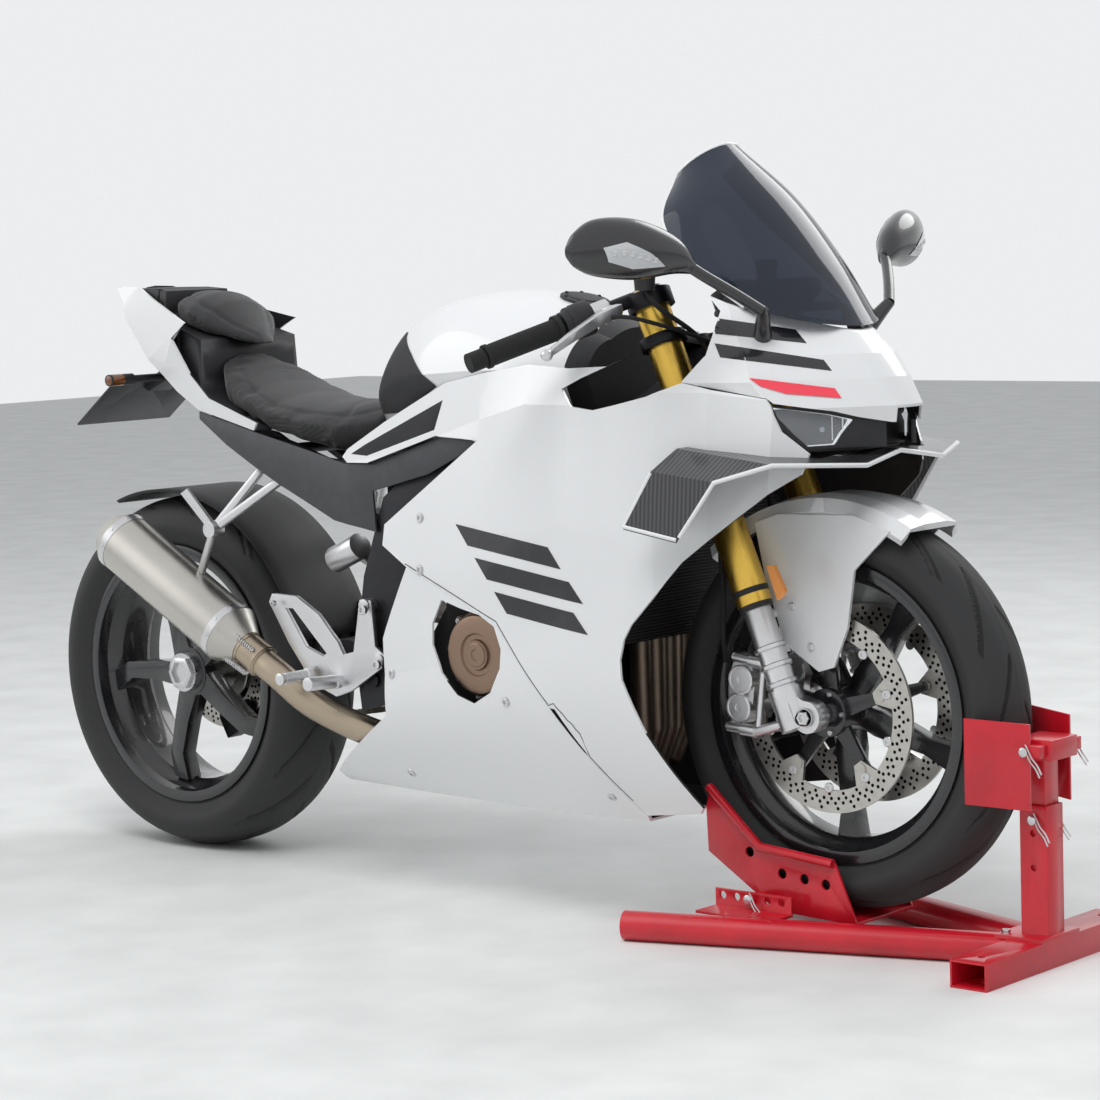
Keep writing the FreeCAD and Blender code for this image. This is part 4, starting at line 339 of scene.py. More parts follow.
def tyre_rubber(name, axle, radius, width, blocks):
    """Rubber with sweeping grooves, placed by the angle round the axle and the distance across; the grooves
    are painted darker as shade.
    """
    material, shader = principled(name, (0.028, 0.028, 0.029), 0.72)
    tree = material.node_tree
    maths = maths_in(tree)
    shift, angle, far, sideways = round_axle(tree, axle)
    turn = maths("MULTIPLY", angle, blocks / (2 * math.pi))
    across = maths("DIVIDE", sideways, width / 2 * MM)
    reach = maths("ABSOLUTE", across)
    sweep = maths("MULTIPLY", maths("POWER", reach, 1.4), 1.25)
    phase = maths("ADD", maths("ADD", turn, sweep), maths("MULTIPLY", maths("SIGN", across), 0.25))
    tooth = maths("ABSOLUTE", maths("SUBTRACT", maths("FRACT", phase), 0.5))
    narrow = maths("LESS_THAN", tooth, 0.055)
    inside = maths("MULTIPLY", maths("GREATER_THAN", reach, 0.10), maths("LESS_THAN", reach, 0.82))
    tread = maths("GREATER_THAN", far, (radius - 40) * MM)
    groove = maths("MULTIPLY", maths("MULTIPLY", narrow, inside), tread)
    # Painted shade: the grooves are coloured darker than the rubber round them.
    feed(shader, "Base Color", blend_colour(tree, groove, (0.03, 0.03, 0.031), (0.008, 0.008, 0.008)))
    bump(shader, maths("MULTIPLY", groove, -1), 1.0, 0.003)
    grain(shader, 500, 0.25, 0.0006, detail=4)
    rings = add_node(tree, "TexWave", {"Scale": 60, "Vector": shift}, wave_type="RINGS", rings_direction="Y")
    bump(shader, rings.outputs[0], 0.04, 0.0005)
    return material


def drilled_disc(name, axle, rows):
    """Brake disc steel with turned lines and drilled holes; rows are (radius, count, share of a step)."""
    material, shader = principled(name, (0.56, 0.54, 0.50), 0.3, 1.0)
    tree = material.node_tree
    maths = maths_in(tree)
    shift, angle, far, across = round_axle(tree, axle)
    holes = 0.0
    for radius, count, share in rows:
        step = maths("ADD", maths("MULTIPLY", angle, count / (2 * math.pi)), share)
        pitch = 2 * math.pi * radius / count * MM
        along = maths("MULTIPLY", maths("SUBTRACT", maths("FRACT", step), 0.5), pitch)
        gap = length_of(maths, along, maths("SUBTRACT", far, radius * MM))
        holes = maths("MAXIMUM", holes, maths("LESS_THAN", gap, 2.7 * MM))
    rings = maths("SINE", maths("MULTIPLY", far, 5200.0))
    bump(shader, rings, 0.05, 0.0003)
    bump(shader, maths("MULTIPLY", holes, -1.0), 1.0, 0.002)
    noise = object_noise(tree, 70)
    steel = blend_colour(tree, noise, (0.62, 0.60, 0.56), (0.46, 0.44, 0.41))
    feed(shader, "Base Color", blend_colour(tree, holes, steel, (0.01, 0.01, 0.01)))
    spread_roughness(shader, noise, 0.24, 0.42)
    return material


def ribbed_black():
    """Gloss black with a fine woven rib, as on the winglets, painted darker in its hollows as shade."""
    material, shader = principled("ribbed_black", (0.012, 0.012, 0.013), 0.3, coat=0.6, coat_roughness=0.08)
    height = bands(material.node_tree, "X", 42, 0.4)
    ribs_with_painted_shade(shader, height, (0.006, 0.006, 0.007), (0.05, 0.05, 0.054), 0.5, 0.0012)
    return material


def louvred_black():
    material, shader = principled("louvred_black", (0.014, 0.014, 0.015), 0.5)
    height = bands(material.node_tree, "Z", 60)
    # Painted shade: the louvres are coloured darker in their hollows.
    ribs_with_painted_shade(shader, height, (0.004, 0.004, 0.004), (0.04, 0.04, 0.042), 0.9, 0.002)
    return material


def seat_grid():
    """Black seat cover with a fine woven grid, painted darker in its hollows as shade."""
    material, shader = principled("seat_weave", (0.02, 0.02, 0.022), 0.7, extra={"Sheen Weight": 0.25})
    tree = material.node_tree
    weave = maths_in(tree)("MULTIPLY", bands(tree, "X", 150), bands(tree, "Y", 150))
    ribs_with_painted_shade(shader, weave, (0.012, 0.012, 0.013), (0.04, 0.04, 0.043), 0.5, 0.0008)
    spread_roughness(shader, object_noise(tree, 18, detail=5), 0.55, 0.8)
    return material


# Modelling tools

def square_to(way):
    """Two unit vectors square to a direction and to each other."""
    helper = Vector((0, 0, 1)) if abs(way.z) < 0.9 else Vector((1, 0, 0))
    across = way.cross(helper).normalized()
    return across, way.cross(across).normalized()


def spoke(first, second, angle):
    """First direction turned towards the second by an angle."""
    return first * math.cos(angle) + second * math.sin(angle)


def spread_out(points, count=8):
    """Catmull-Rom curve through points, with a count of steps on each run."""
    points = [Vector(point) for point in points]
    longer = [points[0] * 2 - points[1]] + points + [points[-1] * 2 - points[-2]]
    path = []
    for a, b, c, d in zip(longer, longer[1:], longer[2:], longer[3:]):
        for step in range(count):
            t = step / count
            square = a * 2 - b * 5 + c * 4 - d
            cube = b * 3 - a - c * 3 + d
            path.append((b * 2 + (c - a) * t + square * t * t + cube * t ** 3) * 0.5)
    path.append(points[-1])
    return path


def smooth(mesh, angle):
    """Soft shading, with a crease where faces meet past an angle."""
    for polygon in mesh.polygons:
        polygon.use_smooth = True
    mesh.set_sharp_from_angle(angle=math.radians(angle))


def finish_piece(name, mesh, material, body, sharp=38):
    """Object of a mesh on a body, with its faces turned outwards."""
    work = bmesh.new()
    work.from_mesh(mesh)
    bmesh.ops.recalc_face_normals(work, faces=work.faces)
    work.to_mesh(mesh)
    work.free()
    mesh.materials.append(material)
    smooth(mesh, sharp)
    piece = linked(name, mesh)
    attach(piece, body)
    return piece


class Maker:
    """Collects turned, drawn and bent forms in drawing millimetres as one mesh."""

    def __init__(self):
        self.points = []
        self.faces = []

    def skin(self, rings, closed=False):
        """Faces between rings that follow each other; the last meets the first, or both ends get a lid."""
        first = len(self.points)
        size = len(rings[0])
        last = first + (len(rings) - 1) * size
        for ring in rings:
            self.points.extend(Vector(point) for point in ring)
        for row in range(len(rings) if closed else len(rings) - 1):
            start = first + row * size
            end = first + (row + 1) % len(rings) * size
            for step in range(size):
                after = (step + 1) % size
                self.faces.append((start + step, start + after, end + after, end + step))
        if not closed:
            self.faces.append(tuple(range(first + size - 1, first - 1, -1)))
            self.faces.append(tuple(range(last, last + size)))

    def turned(self, place, way, profile, sides=20):
        """Profile of (along, radius) pairs turned about a line."""
        way = Vector(way).normalized()
        u, v = square_to(way)
        self.skin([[Vector(place) + way * along + spoke(u, v, angle) * radius for angle in turns(sides)]
                   for along, radius in profile])

    def bolt(self, place, way, radius=4.0, height=4.0):
        """Socket head with a rounded edge and a hollow for the key."""
        self.turned(place, way, [(-1, radius), (height * 0.7, radius), (height, radius * 0.82),
                                 (height, radius * 0.5), (height * 0.4, radius * 0.45)], 14)

    def nut(self, place, way, radius=8.0, height=6.0):
        """Hexagon nut on a washer."""
        self.turned(place, way, [(-1, radius * 1.2), (1, radius * 1.2)], 20)
        self.turned(place, way, [(1, radius), (height * 0.85, radius), (height, radius * 0.88),
                                 (height, radius * 0.55), (height * 0.6, radius * 0.5)], 6)

    def tube(self, points, radius, sides=8):
        """Round bar along a row of points; its radius is one value, or a list with one for each point."""
        points = [Vector(point) for point in points]
        radii = radius if isinstance(radius, list) else [radius] * len(points)
        rings = []
        u = None
        for index, (point, reach) in enumerate(zip(points, radii)):
            way = (points[min(index + 1, len(points) - 1)] - points[max(index - 1, 0)]).normalized()
            if u is None:
                u, v = square_to(way)
            else:
                u = (u - way * u.dot(way)).normalized()
                v = way.cross(u)
            rings.append([point + spoke(u, v, angle) * reach for angle in turns(sides)])
        self.skin(rings)

    def coil(self, start, end, radius, wire, count):
        """Round wire wound between two points with a count of turns."""
        u, v = square_to((end - start).normalized())
        steps = count * 10
        path = []
        for step in range(steps + 1):
            angle = 2 * math.pi * count * step / steps
            path.append(start + (end - start) * (step / steps) + spoke(u, v, angle) * radius)
        self.tube(path, wire, 6)

    def plate(self, outline, through):
        """Flat outline of 3-D points, given a thickness."""
        outline = [Vector(point) for point in outline]
        self.skin([outline, [point + Vector(through) for point in outline]])

    def piece(self, name, material, body, sharp=38):
        mesh = bpy.data.meshes.new(name)
        mesh.from_pydata([at(*point) for point in self.points], [], self.faces)
        return finish_piece(name, mesh, material, body, sharp)


def tree_of(thing):
    """Ray tree over the mesh of a piece or a CAD node."""
    points = [vertex.co.copy() for vertex in thing.data.vertices]
    return BVHTree.FromPolygons(points, [list(polygon.vertices) for polygon in thing.data.polygons])


def touch(tree, point, way, back=300.0):
    """Where a line through a point first meets a surface, and the normal that faces the line's start."""
    way = Vector(way).normalized()
    hit, normal, index, distance = tree.ray_cast(at(*(Vector(point) - way * back)), way)
    if hit is None:
        hit, normal, index, distance = tree.find_nearest(at(*point))
    if normal.dot(way) > 0:
        normal = -normal
    return hit / MM + Vector((MID_X, 0, 0)), normal


def laid_on(name, tree, outline, way, material, body, lift=0.4, step=7.0, back=300.0):
    """Flat outline carried along a direction onto a surface, as a thin skin over it."""
    work = bmesh.new()
    work.faces.new([work.verts.new(Vector(point)) for point in outline])
    bmesh.ops.triangulate(work, faces=work.faces)
    for _ in range(7):
        long_edges = [edge for edge in work.edges if edge.calc_length() > step]
        if not long_edges:
            break
        bmesh.ops.subdivide_edges(work, edges=long_edges, cuts=1)
        bmesh.ops.triangulate(work, faces=work.faces)
    for vertex in work.verts:
        place, normal = touch(tree, vertex.co, way, back)
        vertex.co = at(*(place + normal * lift))
    mesh = bpy.data.meshes.new(name)
    work.to_mesh(mesh)
    work.free()
    mesh.materials.append(material)
    smooth(mesh, 40)
    piece = linked(name, mesh)
    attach(piece, body)


# Materials of the CAD's own pieces

def dress(material, *names):
    for name in names:
        slots = nodes[name].data.materials
        slots.clear()
        slots.append(material)


FRONT_HOLES = [(121, 30, 0), (128, 60, 0.25), (135, 60, 0.75), (143, 30, 0.5)]
REAR_HOLES = [(82, 24, 0), (90, 48, 0.25), (98, 48, 0.75), (105, 24, 0.5)]


def dress_all():
    dress(MAT["white"], "side_fairings", "belly_fairing", "nose_fairing", "fuel_tank", "tail_fairing",
          "front_fender")
    dress(MAT["red"], "stand_base", "stand_column", "stand_jaws", "stand_cradle")
    dress(MAT["alloy"], "fork_lowers", "front_calipers", "brake_and_clutch_levers", "passenger_pegs",
          "rearsets", "rear_shock")
    dress(MAT["plastic"], "switch_housings", "instrument_panel", "rear_hugger", "plate_bracket",
          "rear_indicators", "tail_core", "headlight_housing")
    dress(MAT["mirror_shell"], "mirrors")
    dress(MAT["pad"], "tank_side_covers")
    dress(MAT["rubber"], "grips", "front_brake_hoses")
    dress(MAT["weave"], "rider_seat", "pillion_seat")
    dress(MAT["screen"], "windscreen")
    dress(clear_lens(), "headlights")
    dress(louvred_black(), "radiator")
    dress(ribbed_black(), "winglets")
    dress(gloss_black("wheel_gloss_black"), "front_rim", "rear_rim")
    dress(cast_metal("black_alloy", (0.03, 0.03, 0.033), 0.42), "top_clamp", "bottom_clamp", "handlebars",
          "swingarm", "rear_caliper", "side_stand")
    dress(cast_metal("frame_grey", (0.05, 0.05, 0.055), 0.5), "main_frame", "subframe")
    dress(cast_metal("engine_grey", (0.07, 0.07, 0.07), 0.6), "engine_block")
    dress(cast_metal("cover_bronze", (0.30, 0.205, 0.15), 0.4, 1500), "engine_covers")
    dress(moulded_plastic("plate_grey", (0.05, 0.05, 0.055), 0.5), "number_plate")
    dress(moulded_plastic("cover_grey", (0.045, 0.047, 0.052), 0.45), "seat_side_covers")
    dress(brushed_metal("gold_anodised", (0.80, 0.52, 0.10), 0.28, (1, 1, 0.05)), "fork_uppers")
    dress(brushed_metal("axle_steel", (0.6, 0.6, 0.62), 0.25, (1, 0.05, 1)), "front_axle", "rear_hub_nut")
    dress(brushed_metal("sprocket_steel", (0.5, 0.48, 0.45), 0.34), "rear_sprocket", "front_sprocket",
          "chain")
    dress(brushed_metal("muffler_steel", (0.55, 0.53, 0.49), 0.3, (0.06, 1, 1)), "muffler")
    dress(brushed_metal("heat_tinted_steel", (0.46, 0.38, 0.29), 0.3), "link_pipe")
    dress(brushed_metal("header_steel", (0.20, 0.155, 0.12), 0.42), "exhaust_headers")
    dress(drilled_disc("front_disc_steel", FRONT_AXLE, FRONT_HOLES), "front_discs")
    dress(drilled_disc("rear_disc_steel", REAR_AXLE, REAR_HOLES), "rear_disc")
    dress(tyre_rubber("front_tread", FRONT_AXLE, 300, 120, 14), "front_tyre")
    dress(tyre_rubber("rear_tread", REAR_AXLE, 312, 180, 14), "rear_tyre")


# Creases of the CAD's faces in degrees, where they aren't the usual 30
SOFT_ANGLES = {
    "nose_fairing": 40, "fuel_tank": 50, "front_fender": 50, "tail_fairing": 40, "side_fairings": 16,
    "belly_fairing": 16, "tank_side_covers": 24,
}
# Width in millimetres of the rounded edge that a node gets in the render
ROUND_EDGES = {
    "tail_core": 7, "stand_base": 1.5, "stand_column": 2, "stand_jaws": 1.5, "stand_cradle": 1.2,
    "seat_side_covers": 2.5, "rearsets": 1.6, "rear_hugger": 1.5, "main_frame": 4, "swingarm": 4,
    "plate_bracket": 1.5, "number_plate": 1, "top_clamp": 1.5, "bottom_clamp": 2, "rear_caliper": 4,
    "switch_housings": 2, "instrument_panel": 3, "front_rim": 2.2, "rear_rim": 2.2, "rear_shock": 2,
    "side_stand": 1.5, "fork_lowers": 1.5, "headlight_housing": 1.2, "brake_and_clutch_levers": 1,
    "handlebars": 1, "tank_side_covers": 1, "passenger_pegs": 1.5,
}


def smooth_frame():
    """Soft shading on the CAD's curved faces, with the creases of the bodywork kept."""
    for name, node in nodes.items():
        smooth(node.data, SOFT_ANGLES.get(name, 30))


def round_edges():
    for name, width in ROUND_EDGES.items():
        weld = nodes[name].modifiers.new("weld", "WELD")
        weld.merge_threshold = 0.00002
        bevel = nodes[name].modifiers.new("rounded", "BEVEL")
        bevel.width = width * MM
        bevel.segments = 2
        bevel.limit_method = "ANGLE"
        bevel.angle_limit = math.radians(32)
        bevel.use_clamp_overlap = True
        bevel.harden_normals = False
        bevel.miter_outer = "MITER_SHARP"


def dark_insides():
    """Gives the shells' inner faces a plain black slot, as unpainted moulding."""
    axle = at(*FRONT_AXLE)
    cores = {
        "side_fairings": lambda point: Vector((point.x, 0, 0.45)),
        "belly_fairing": lambda point: Vector((point.x, 0, 0.45)),
        "nose_fairing": lambda point: Vector((at(1150, 0, 0).x, 0, 0.86)),
        "front_fender": lambda point: Vector((axle.x, point.y * 0.8, axle.z)),
        "tail_fairing": lambda point: Vector((point.x, 0, 0.88)),
    }
    limits = {"front_fender": -0.7}
    for name, core in cores.items():
        mesh = nodes[name].data
        mesh.materials.append(MAT["plastic"])
        for polygon in mesh.polygons:
            out = (polygon.center - core(polygon.center)).normalized()
            polygon.material_index = 1 if polygon.normal.dot(out) < limits.get(name, -0.25) else 0


def dark_tank_front():
    """Black slot on the tank's flat front face, where the airbox cover shows."""
    mesh = nodes["fuel_tank"].data
    mesh.materials.append(MAT["plastic"])
    front = at(985, 0, 0).x
    for polygon in mesh.polygons:
        if polygon.center.x > front:
            polygon.material_index = 1


# Graphics, lamps and trim on the bodywork

# Plain slanted bars on the flanks: (x, z) corners
FLANK_BARS = [
    [(806, 618), (1012, 592), (1040, 560), (834, 586)],
    [(850, 568), (1056, 542), (1084, 510), (878, 536)],
    [(894, 518), (1064, 496), (1092, 464), (922, 486)],
]
# Path of the black line of painted shade along the seam across each flank, as (x, z)
SEAM = [(690, 550), (898, 472), (1002, 350), (1126, 196)]
# The same on the nose's cheeks: (x, y, z) corners on the right
NOSE_BARS = [
    [(1290, -175, 934), (1398, -105, 912), (1408, -98, 892), (1296, -175, 910)],
    [(1300, -178, 896), (1424, -86, 868), (1432, -80, 852), (1306, -178, 876)],
]
DAY_LIGHT = [(1364, -184, 846), (1380, -169, 843), (1451, -95, 827), (1460, -92, 813), (1406, -152, 822),
             (1378, -176, 834)]
CHEEK_ALONG, CHEEK_OUT = 0.637, 0.771
REFLECTOR = [(1353, 570), (1366, 571), (1386, 533), (1379, 524), (1372, 520)]


def graphics():
    """Bars on flanks and nose, day lights, fork reflectors with a painted glow, and a black line of painted
    shade along the seam across each flank.
    """
    flank = tree_of(nodes["side_fairings"])
    nose = tree_of(nodes["nose_fairing"])
    black = gloss_black("decal_and_seam_shade_black", (0.01, 0.01, 0.012))
    red = glowing("day_light_red", (0.75, 0.03, 0.06), 0.25)
    # The amber fork reflectors glow a little: a painted glow that stands in for the light they reflect.
    amber = glowing("amber_reflector_painted_glow", (0.75, 0.25, 0.02), 0.1)
    for side, word in SIDES:
        way = Vector((0, -side, 0))
        for number, bar in enumerate(FLANK_BARS, 1):
            outline = [(x, side * 300, z) for x, z in bar]
            laid_on(f"flank_bar_{word}_{number}", flank, outline, way, black, "chassis", back=10)
        cheek = Vector((-CHEEK_OUT, -side * CHEEK_ALONG, 0))
        for number, bar in enumerate(NOSE_BARS, 1):
            laid_on(f"nose_bar_{word}_{number}", nose, on_side(bar, -side), cheek, black, "chassis", step=5)
        outline = on_side(DAY_LIGHT, -side)
        laid_on(f"day_light_{word}", nose, outline, cheek, red, "chassis", lift=1.4, step=4)
        reflector = Maker()
        reflector.plate([(x, side * 132, z) for x, z in REFLECTOR], (0, side * 8, 0))
        reflector.piece(f"fork_reflector_{word}", amber, "front_end", 30)
        # Black line along the seam between the side and belly fairings: painted shade in the panel gap.
        seam = Maker()
        path = []
        for (x, z), (x2, z2) in zip(SEAM, SEAM[1:]):
            for share in (step / 16 for step in range(16)):
                point = (x + (x2 - x) * share, side * 310, z + (z2 - z) * share)
                place, normal = touch(flank, point, way, 10)
                path.append(place - normal * 0.3)
        seam.tube(path, 1.0, 6)
        seam.piece(f"flank_seam_shade_{word}", black, "chassis", 60)


# Mirror head sections: (y, x_mid, z_mid, half_x, half_z), from the inner end to the tip
MIRROR_ROWS = [
    (238, 1308, 1009, 9, 11),
    (272, 1297, 1027, 24, 28),
    (330, 1278, 1036, 33, 43),
    (385, 1256, 1040, 30, 41),
    (414, 1244, 1038, 18, 27),
    (426, 1238, 1036, 8, 12),
]
MIRROR_ARM = [(1306, 246, 1011), (1324, 226, 993), (1350, 192, 967), (1372, 160, 942)]
MIRROR_FOOT = [(1374, 160, 944), (1362, 145, 924), (1350, 130, 903)]
# Seen along the bike, as (y, z)
MIRROR_LAMP = [(398, 1040), (368, 1047), (334, 1031), (304, 1011), (354, 1009), (390, 1020)]
MIRROR_DOTS = [(384, 1032), (372, 1032), (360, 1030), (348, 1027), (336, 1024), (324, 1020)]
MIRROR_GLASS = [(268, 1012), (276, 1040), (330, 1070), (384, 1070), (408, 1052), (410, 1030), (384, 1010),
                (330, 1002)]


def mirror_heads():
    """Rounded mirror heads on tapered arms, with a lamp in front and the glass behind."""
    shells = Maker()
    middles = spread_out([(x, y, z) for y, x, z, half_x, half_z in MIRROR_ROWS], 6)
    halves = spread_out([(half_x, 0, half_z) for y, x, z, half_x, half_z in MIRROR_ROWS], 6)
    for side in (-1, 1):
        rings = []
        for middle, half in zip(middles, halves):
            wide, high = Vector((half.x, 0, 0)), Vector((0, 0, half.z))
            ring = [middle + spoke(wide, high, angle) for angle in turns(32)]
            rings.append(on_side(ring, side))
        shells.skin(rings)
        shells.tube(spread_out(on_side(MIRROR_ARM, side)), 8.5, 16)
        foot = spread_out(on_side(MIRROR_FOOT, side))
        shells.tube(foot, [8.5 + 5.5 * step / (len(foot) - 1) for step in range(len(foot))], 16)
    heads = shells.piece("mirror_heads", MAT["mirror_shell"], "chassis", 60)
    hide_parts("mirrors")
    tree = tree_of(heads)
    lamp = glowing("mirror_lamp", (0.62, 0.64, 0.66), 0.0, 0.2)
    ahead = Vector((1, 0, 0))
    for side, word in SIDES:
        outline = [(1400, side * y, z) for y, z in MIRROR_LAMP]
        laid_on(f"mirror_lamp_{word}", tree, outline, -ahead, lamp, "chassis", lift=1.0, step=5)
        dots = Maker()
        for y, z in MIRROR_DOTS:
            place, normal = touch(tree, (1400, side * y, z), -ahead)
            dots.turned(place + normal * 0.6, normal, [(0, 4.2), (1.2, 4.2), (1.8, 3)], 12)
        dots.piece(f"mirror_lamp_dots_{word}", MAT["bright"], "chassis")
        outline = [(1150, side * y, z) for y, z in MIRROR_GLASS]
        laid_on(f"mirror_glass_{word}", tree, outline, ahead, MAT["mirror"], "chassis", lift=0.8, step=6)


# Windscreen rows: (x_mid, z_mid, x_edge, z_edge, half_width), from its foot to its top edge
SCREEN_ROWS = [
    (1434, 914, 1318, 946.8, 132),
    (1370, 1012, 1238, 1005, 146),
    (1290, 1110, 1164, 1075, 124),
    (1199, 1189, 1140, 1142, 58),
]


def screen_arc(row, inset, steps=28):
    """Arc across the windscreen through its two edges and its middle."""
    x_mid, z_mid, x_edge, z_edge, half = row
    bulge = Vector((x_mid - x_edge, 0, z_mid - z_edge))
    depth = bulge.length
    bulge.normalize()
    radius = (half * half + depth * depth) / (2 * depth)
    open_angle = math.asin(min(1.0, half / radius))
    if depth > radius:
        open_angle = math.pi - open_angle
    middle = Vector((x_mid, 0, z_mid)) - bulge * radius
    across = Vector((0, 1, 0))
    return [middle + spoke(bulge, across, open_angle * (2 * step / steps - 1)) * (radius - inset)
            for step in range(steps + 1)]


def smooth_screen():
    """Windscreen with an even sweep, and the white strip round its edge."""
    middles = spread_out([(x, half, z) for x, z, x_edge, z_edge, half in SCREEN_ROWS])
    edges = spread_out([(x_edge, 0, z_edge) for x, z, x_edge, z_edge, half in SCREEN_ROWS])
    rows = [(middle.x, middle.z, edge.x, edge.z, middle.y) for middle, edge in zip(middles, edges)]
    screen = Maker()
    screen.skin([screen_arc(row, 0) + screen_arc(row, 4)[::-1] for row in rows])
    glass = screen.piece("screen_glass", MAT["screen"], "chassis", 50)
    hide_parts("windscreen")
    arcs = [screen_arc(row, 2) for row in rows]
    rim = Maker()
    rim.tube([arc[0] for arc in arcs] + arcs[-1][1:-1] + [arc[-1] for arc in reversed(arcs)], 3.4, 8)
    rim.piece("screen_rim", MAT["white"], "chassis", 60)


# White strips along the winglets' edges, on the left
WINGLET_EDGES = [
    [(1498, 0, 732.5), (1506, 96, 717.5), (1440, 236, 725.5), (1374, 286, 703.5), (1316, 294, 624.5)],
    [(1262, 287, 715.5), (1216, 294, 638.5)],
    [(1312, 295, 620.5), (1214, 295, 636.5)],
]


def winglet_trim():
    for side, word in SIDES:
        trim = Maker()
        for run in WINGLET_EDGES:
            trim.tube(on_side(run, side), 3.6, 8)
        trim.piece(f"winglet_edge_{word}", MAT["white"], "chassis", 60)


def left_winglet():
    """The solid holds the right winglet alone, so the left one is its mirror image."""
    right = nodes["winglets"]
    places = [right.matrix_world @ vertex.co for vertex in right.data.vertices]
    mesh = bpy.data.meshes.new("winglet_left")
    mesh.from_pydata([(place.x, -place.y, place.z) for place in places], [],
                     [list(face.vertices)[::-1] for face in right.data.polygons])
    finish_piece("winglet_left", mesh, right.data.materials[0], "chassis")


# Where bolts go, as (x, z)
FLANK_BOLTS = [(725, 542), (724, 624)]
BELLY_BOLTS = [(647, 371), (912, 348), (636, 202), (1077, 208)]
FENDER_BOLTS = [(1349, 503), (1382, 444)]


def on_flanks(node, places):
    """Places and normals on both flanks of a node, from (x, z) as seen from the side."""
    tree = tree_of(nodes[node])
    return [touch(tree, (x, side * 320, z), (0, -side, 0), 10) for side in (-1, 1) for x, z in places]


def fasteners():
    bolts = Maker()
    for place, normal in on_flanks("side_fairings", FLANK_BOLTS) + on_flanks("belly_fairing", BELLY_BOLTS):
        bolts.turned(place, normal, [(-0.5, 9), (0.6, 8.5)], 20)
        bolts.bolt(place, normal, 6.5, 3)
    bolts.piece("fairing_bolts", MAT["bright"], "chassis")
    guard = Maker()
    for place, normal in on_flanks("front_fender", FENDER_BOLTS):
        guard.bolt(place, normal, 6, 3)
    guard.piece("fender_bolts", MAT["bright"], "front_end")


# Headlamp lens as (distance from the nose's corner along its cheek, z)
LENS = [(182, 803), (99, 790), (63, 781), (80, 762), (91, 746), (131, 745), (154, 766), (174, 787)]
LINER_WALL = [(1384, -168), (1452, -78), (1466, 0), (1452, 78), (1384, 168)]
LINER_FLOOR = [(1384, -168), (1466, -40), (1466, 40), (1384, 168), (1340, 172), (1340, -172)]


def on_cheek(way, z, depth, side):
    """Point on the nose's cheek: way along it from the nose's corner, depth behind the skin."""
    return Vector((1516 - CHEEK_ALONG * way - CHEEK_OUT * depth,
                   side * (33 + CHEEK_OUT * way - CHEEK_ALONG * depth), z))


def headlamps():
    """Chrome bowl with a painted glow for its bright reflection, lamp lenses and bezel behind each clear
    lens, and the dark liner that closes the nose.
    """
    bowls = Maker()
    lenses = Maker()
    mid_way, mid_z = (sum(values) / len(LENS) for values in zip(*LENS))
    for side in (-1, 1):
        out = Vector((CHEEK_OUT, side * CHEEK_ALONG, 0))
        rings = [[on_cheek(mid_way + (way - mid_way) * scale, mid_z + (z - mid_z) * scale, depth, side)
                  for way, z in LENS]
                 for scale, depth in ((1.02, 15), (1.0, 16), (0.9, 30), (0.7, 44), (0.66, 46))]
        bowls.skin([[point + out * 2 for point in ring] for ring in reversed(rings)] + rings)
        for way, z, radius in ((108, 768, 19), (148, 782, 14)):
            lenses.turned(on_cheek(way, z, 42, side), out,
                          [(0, radius + 4), (14, radius + 4), (15, radius + 2), (14, radius),
                           (17, radius * 0.9), (21, radius * 0.6), (23, radius * 0.15)], 28)
        for way in (76, 92):
            corners = ((way, 786, 18), (way, 752, 18), (way + 4, 752, 34), (way + 4, 788, 34))
            bowls.plate([on_cheek(*corner, side) for corner in corners], out)
    bowls.piece("headlamp_bowls", MAT["chrome"], "chassis", 25)
    lenses.piece("headlamp_lenses", MAT["lamp_glass"], "chassis", 40)
    liner = Maker()
    liner.skin([[(x, y, z) for x, y in LINER_WALL] + [(x - 3, y, z) for x, y in LINER_WALL[::-1]]
                for z in (738, 800)])
    liner.skin([[(x, y, z) for x, y in LINER_FLOOR] for z in (736, 739)])
    liner.piece("nose_liner", MAT["plastic"], "chassis", 30)


# Wheels, brakes and fork

# (node, piece, axle, radius, half width, half bead, body)
TYRES = [
    ("front_tyre", "front_tyre_rubber", FRONT_AXLE, 300, 60, 42, "front_wheel"),
    ("rear_tyre", "rear_tyre_rubber", REAR_AXLE, 312, 90, 68, "rear_wheel"),
]
TYRE_STEPS = 620
GROOVES = 13
GROOVE_DEPTH = 3.2


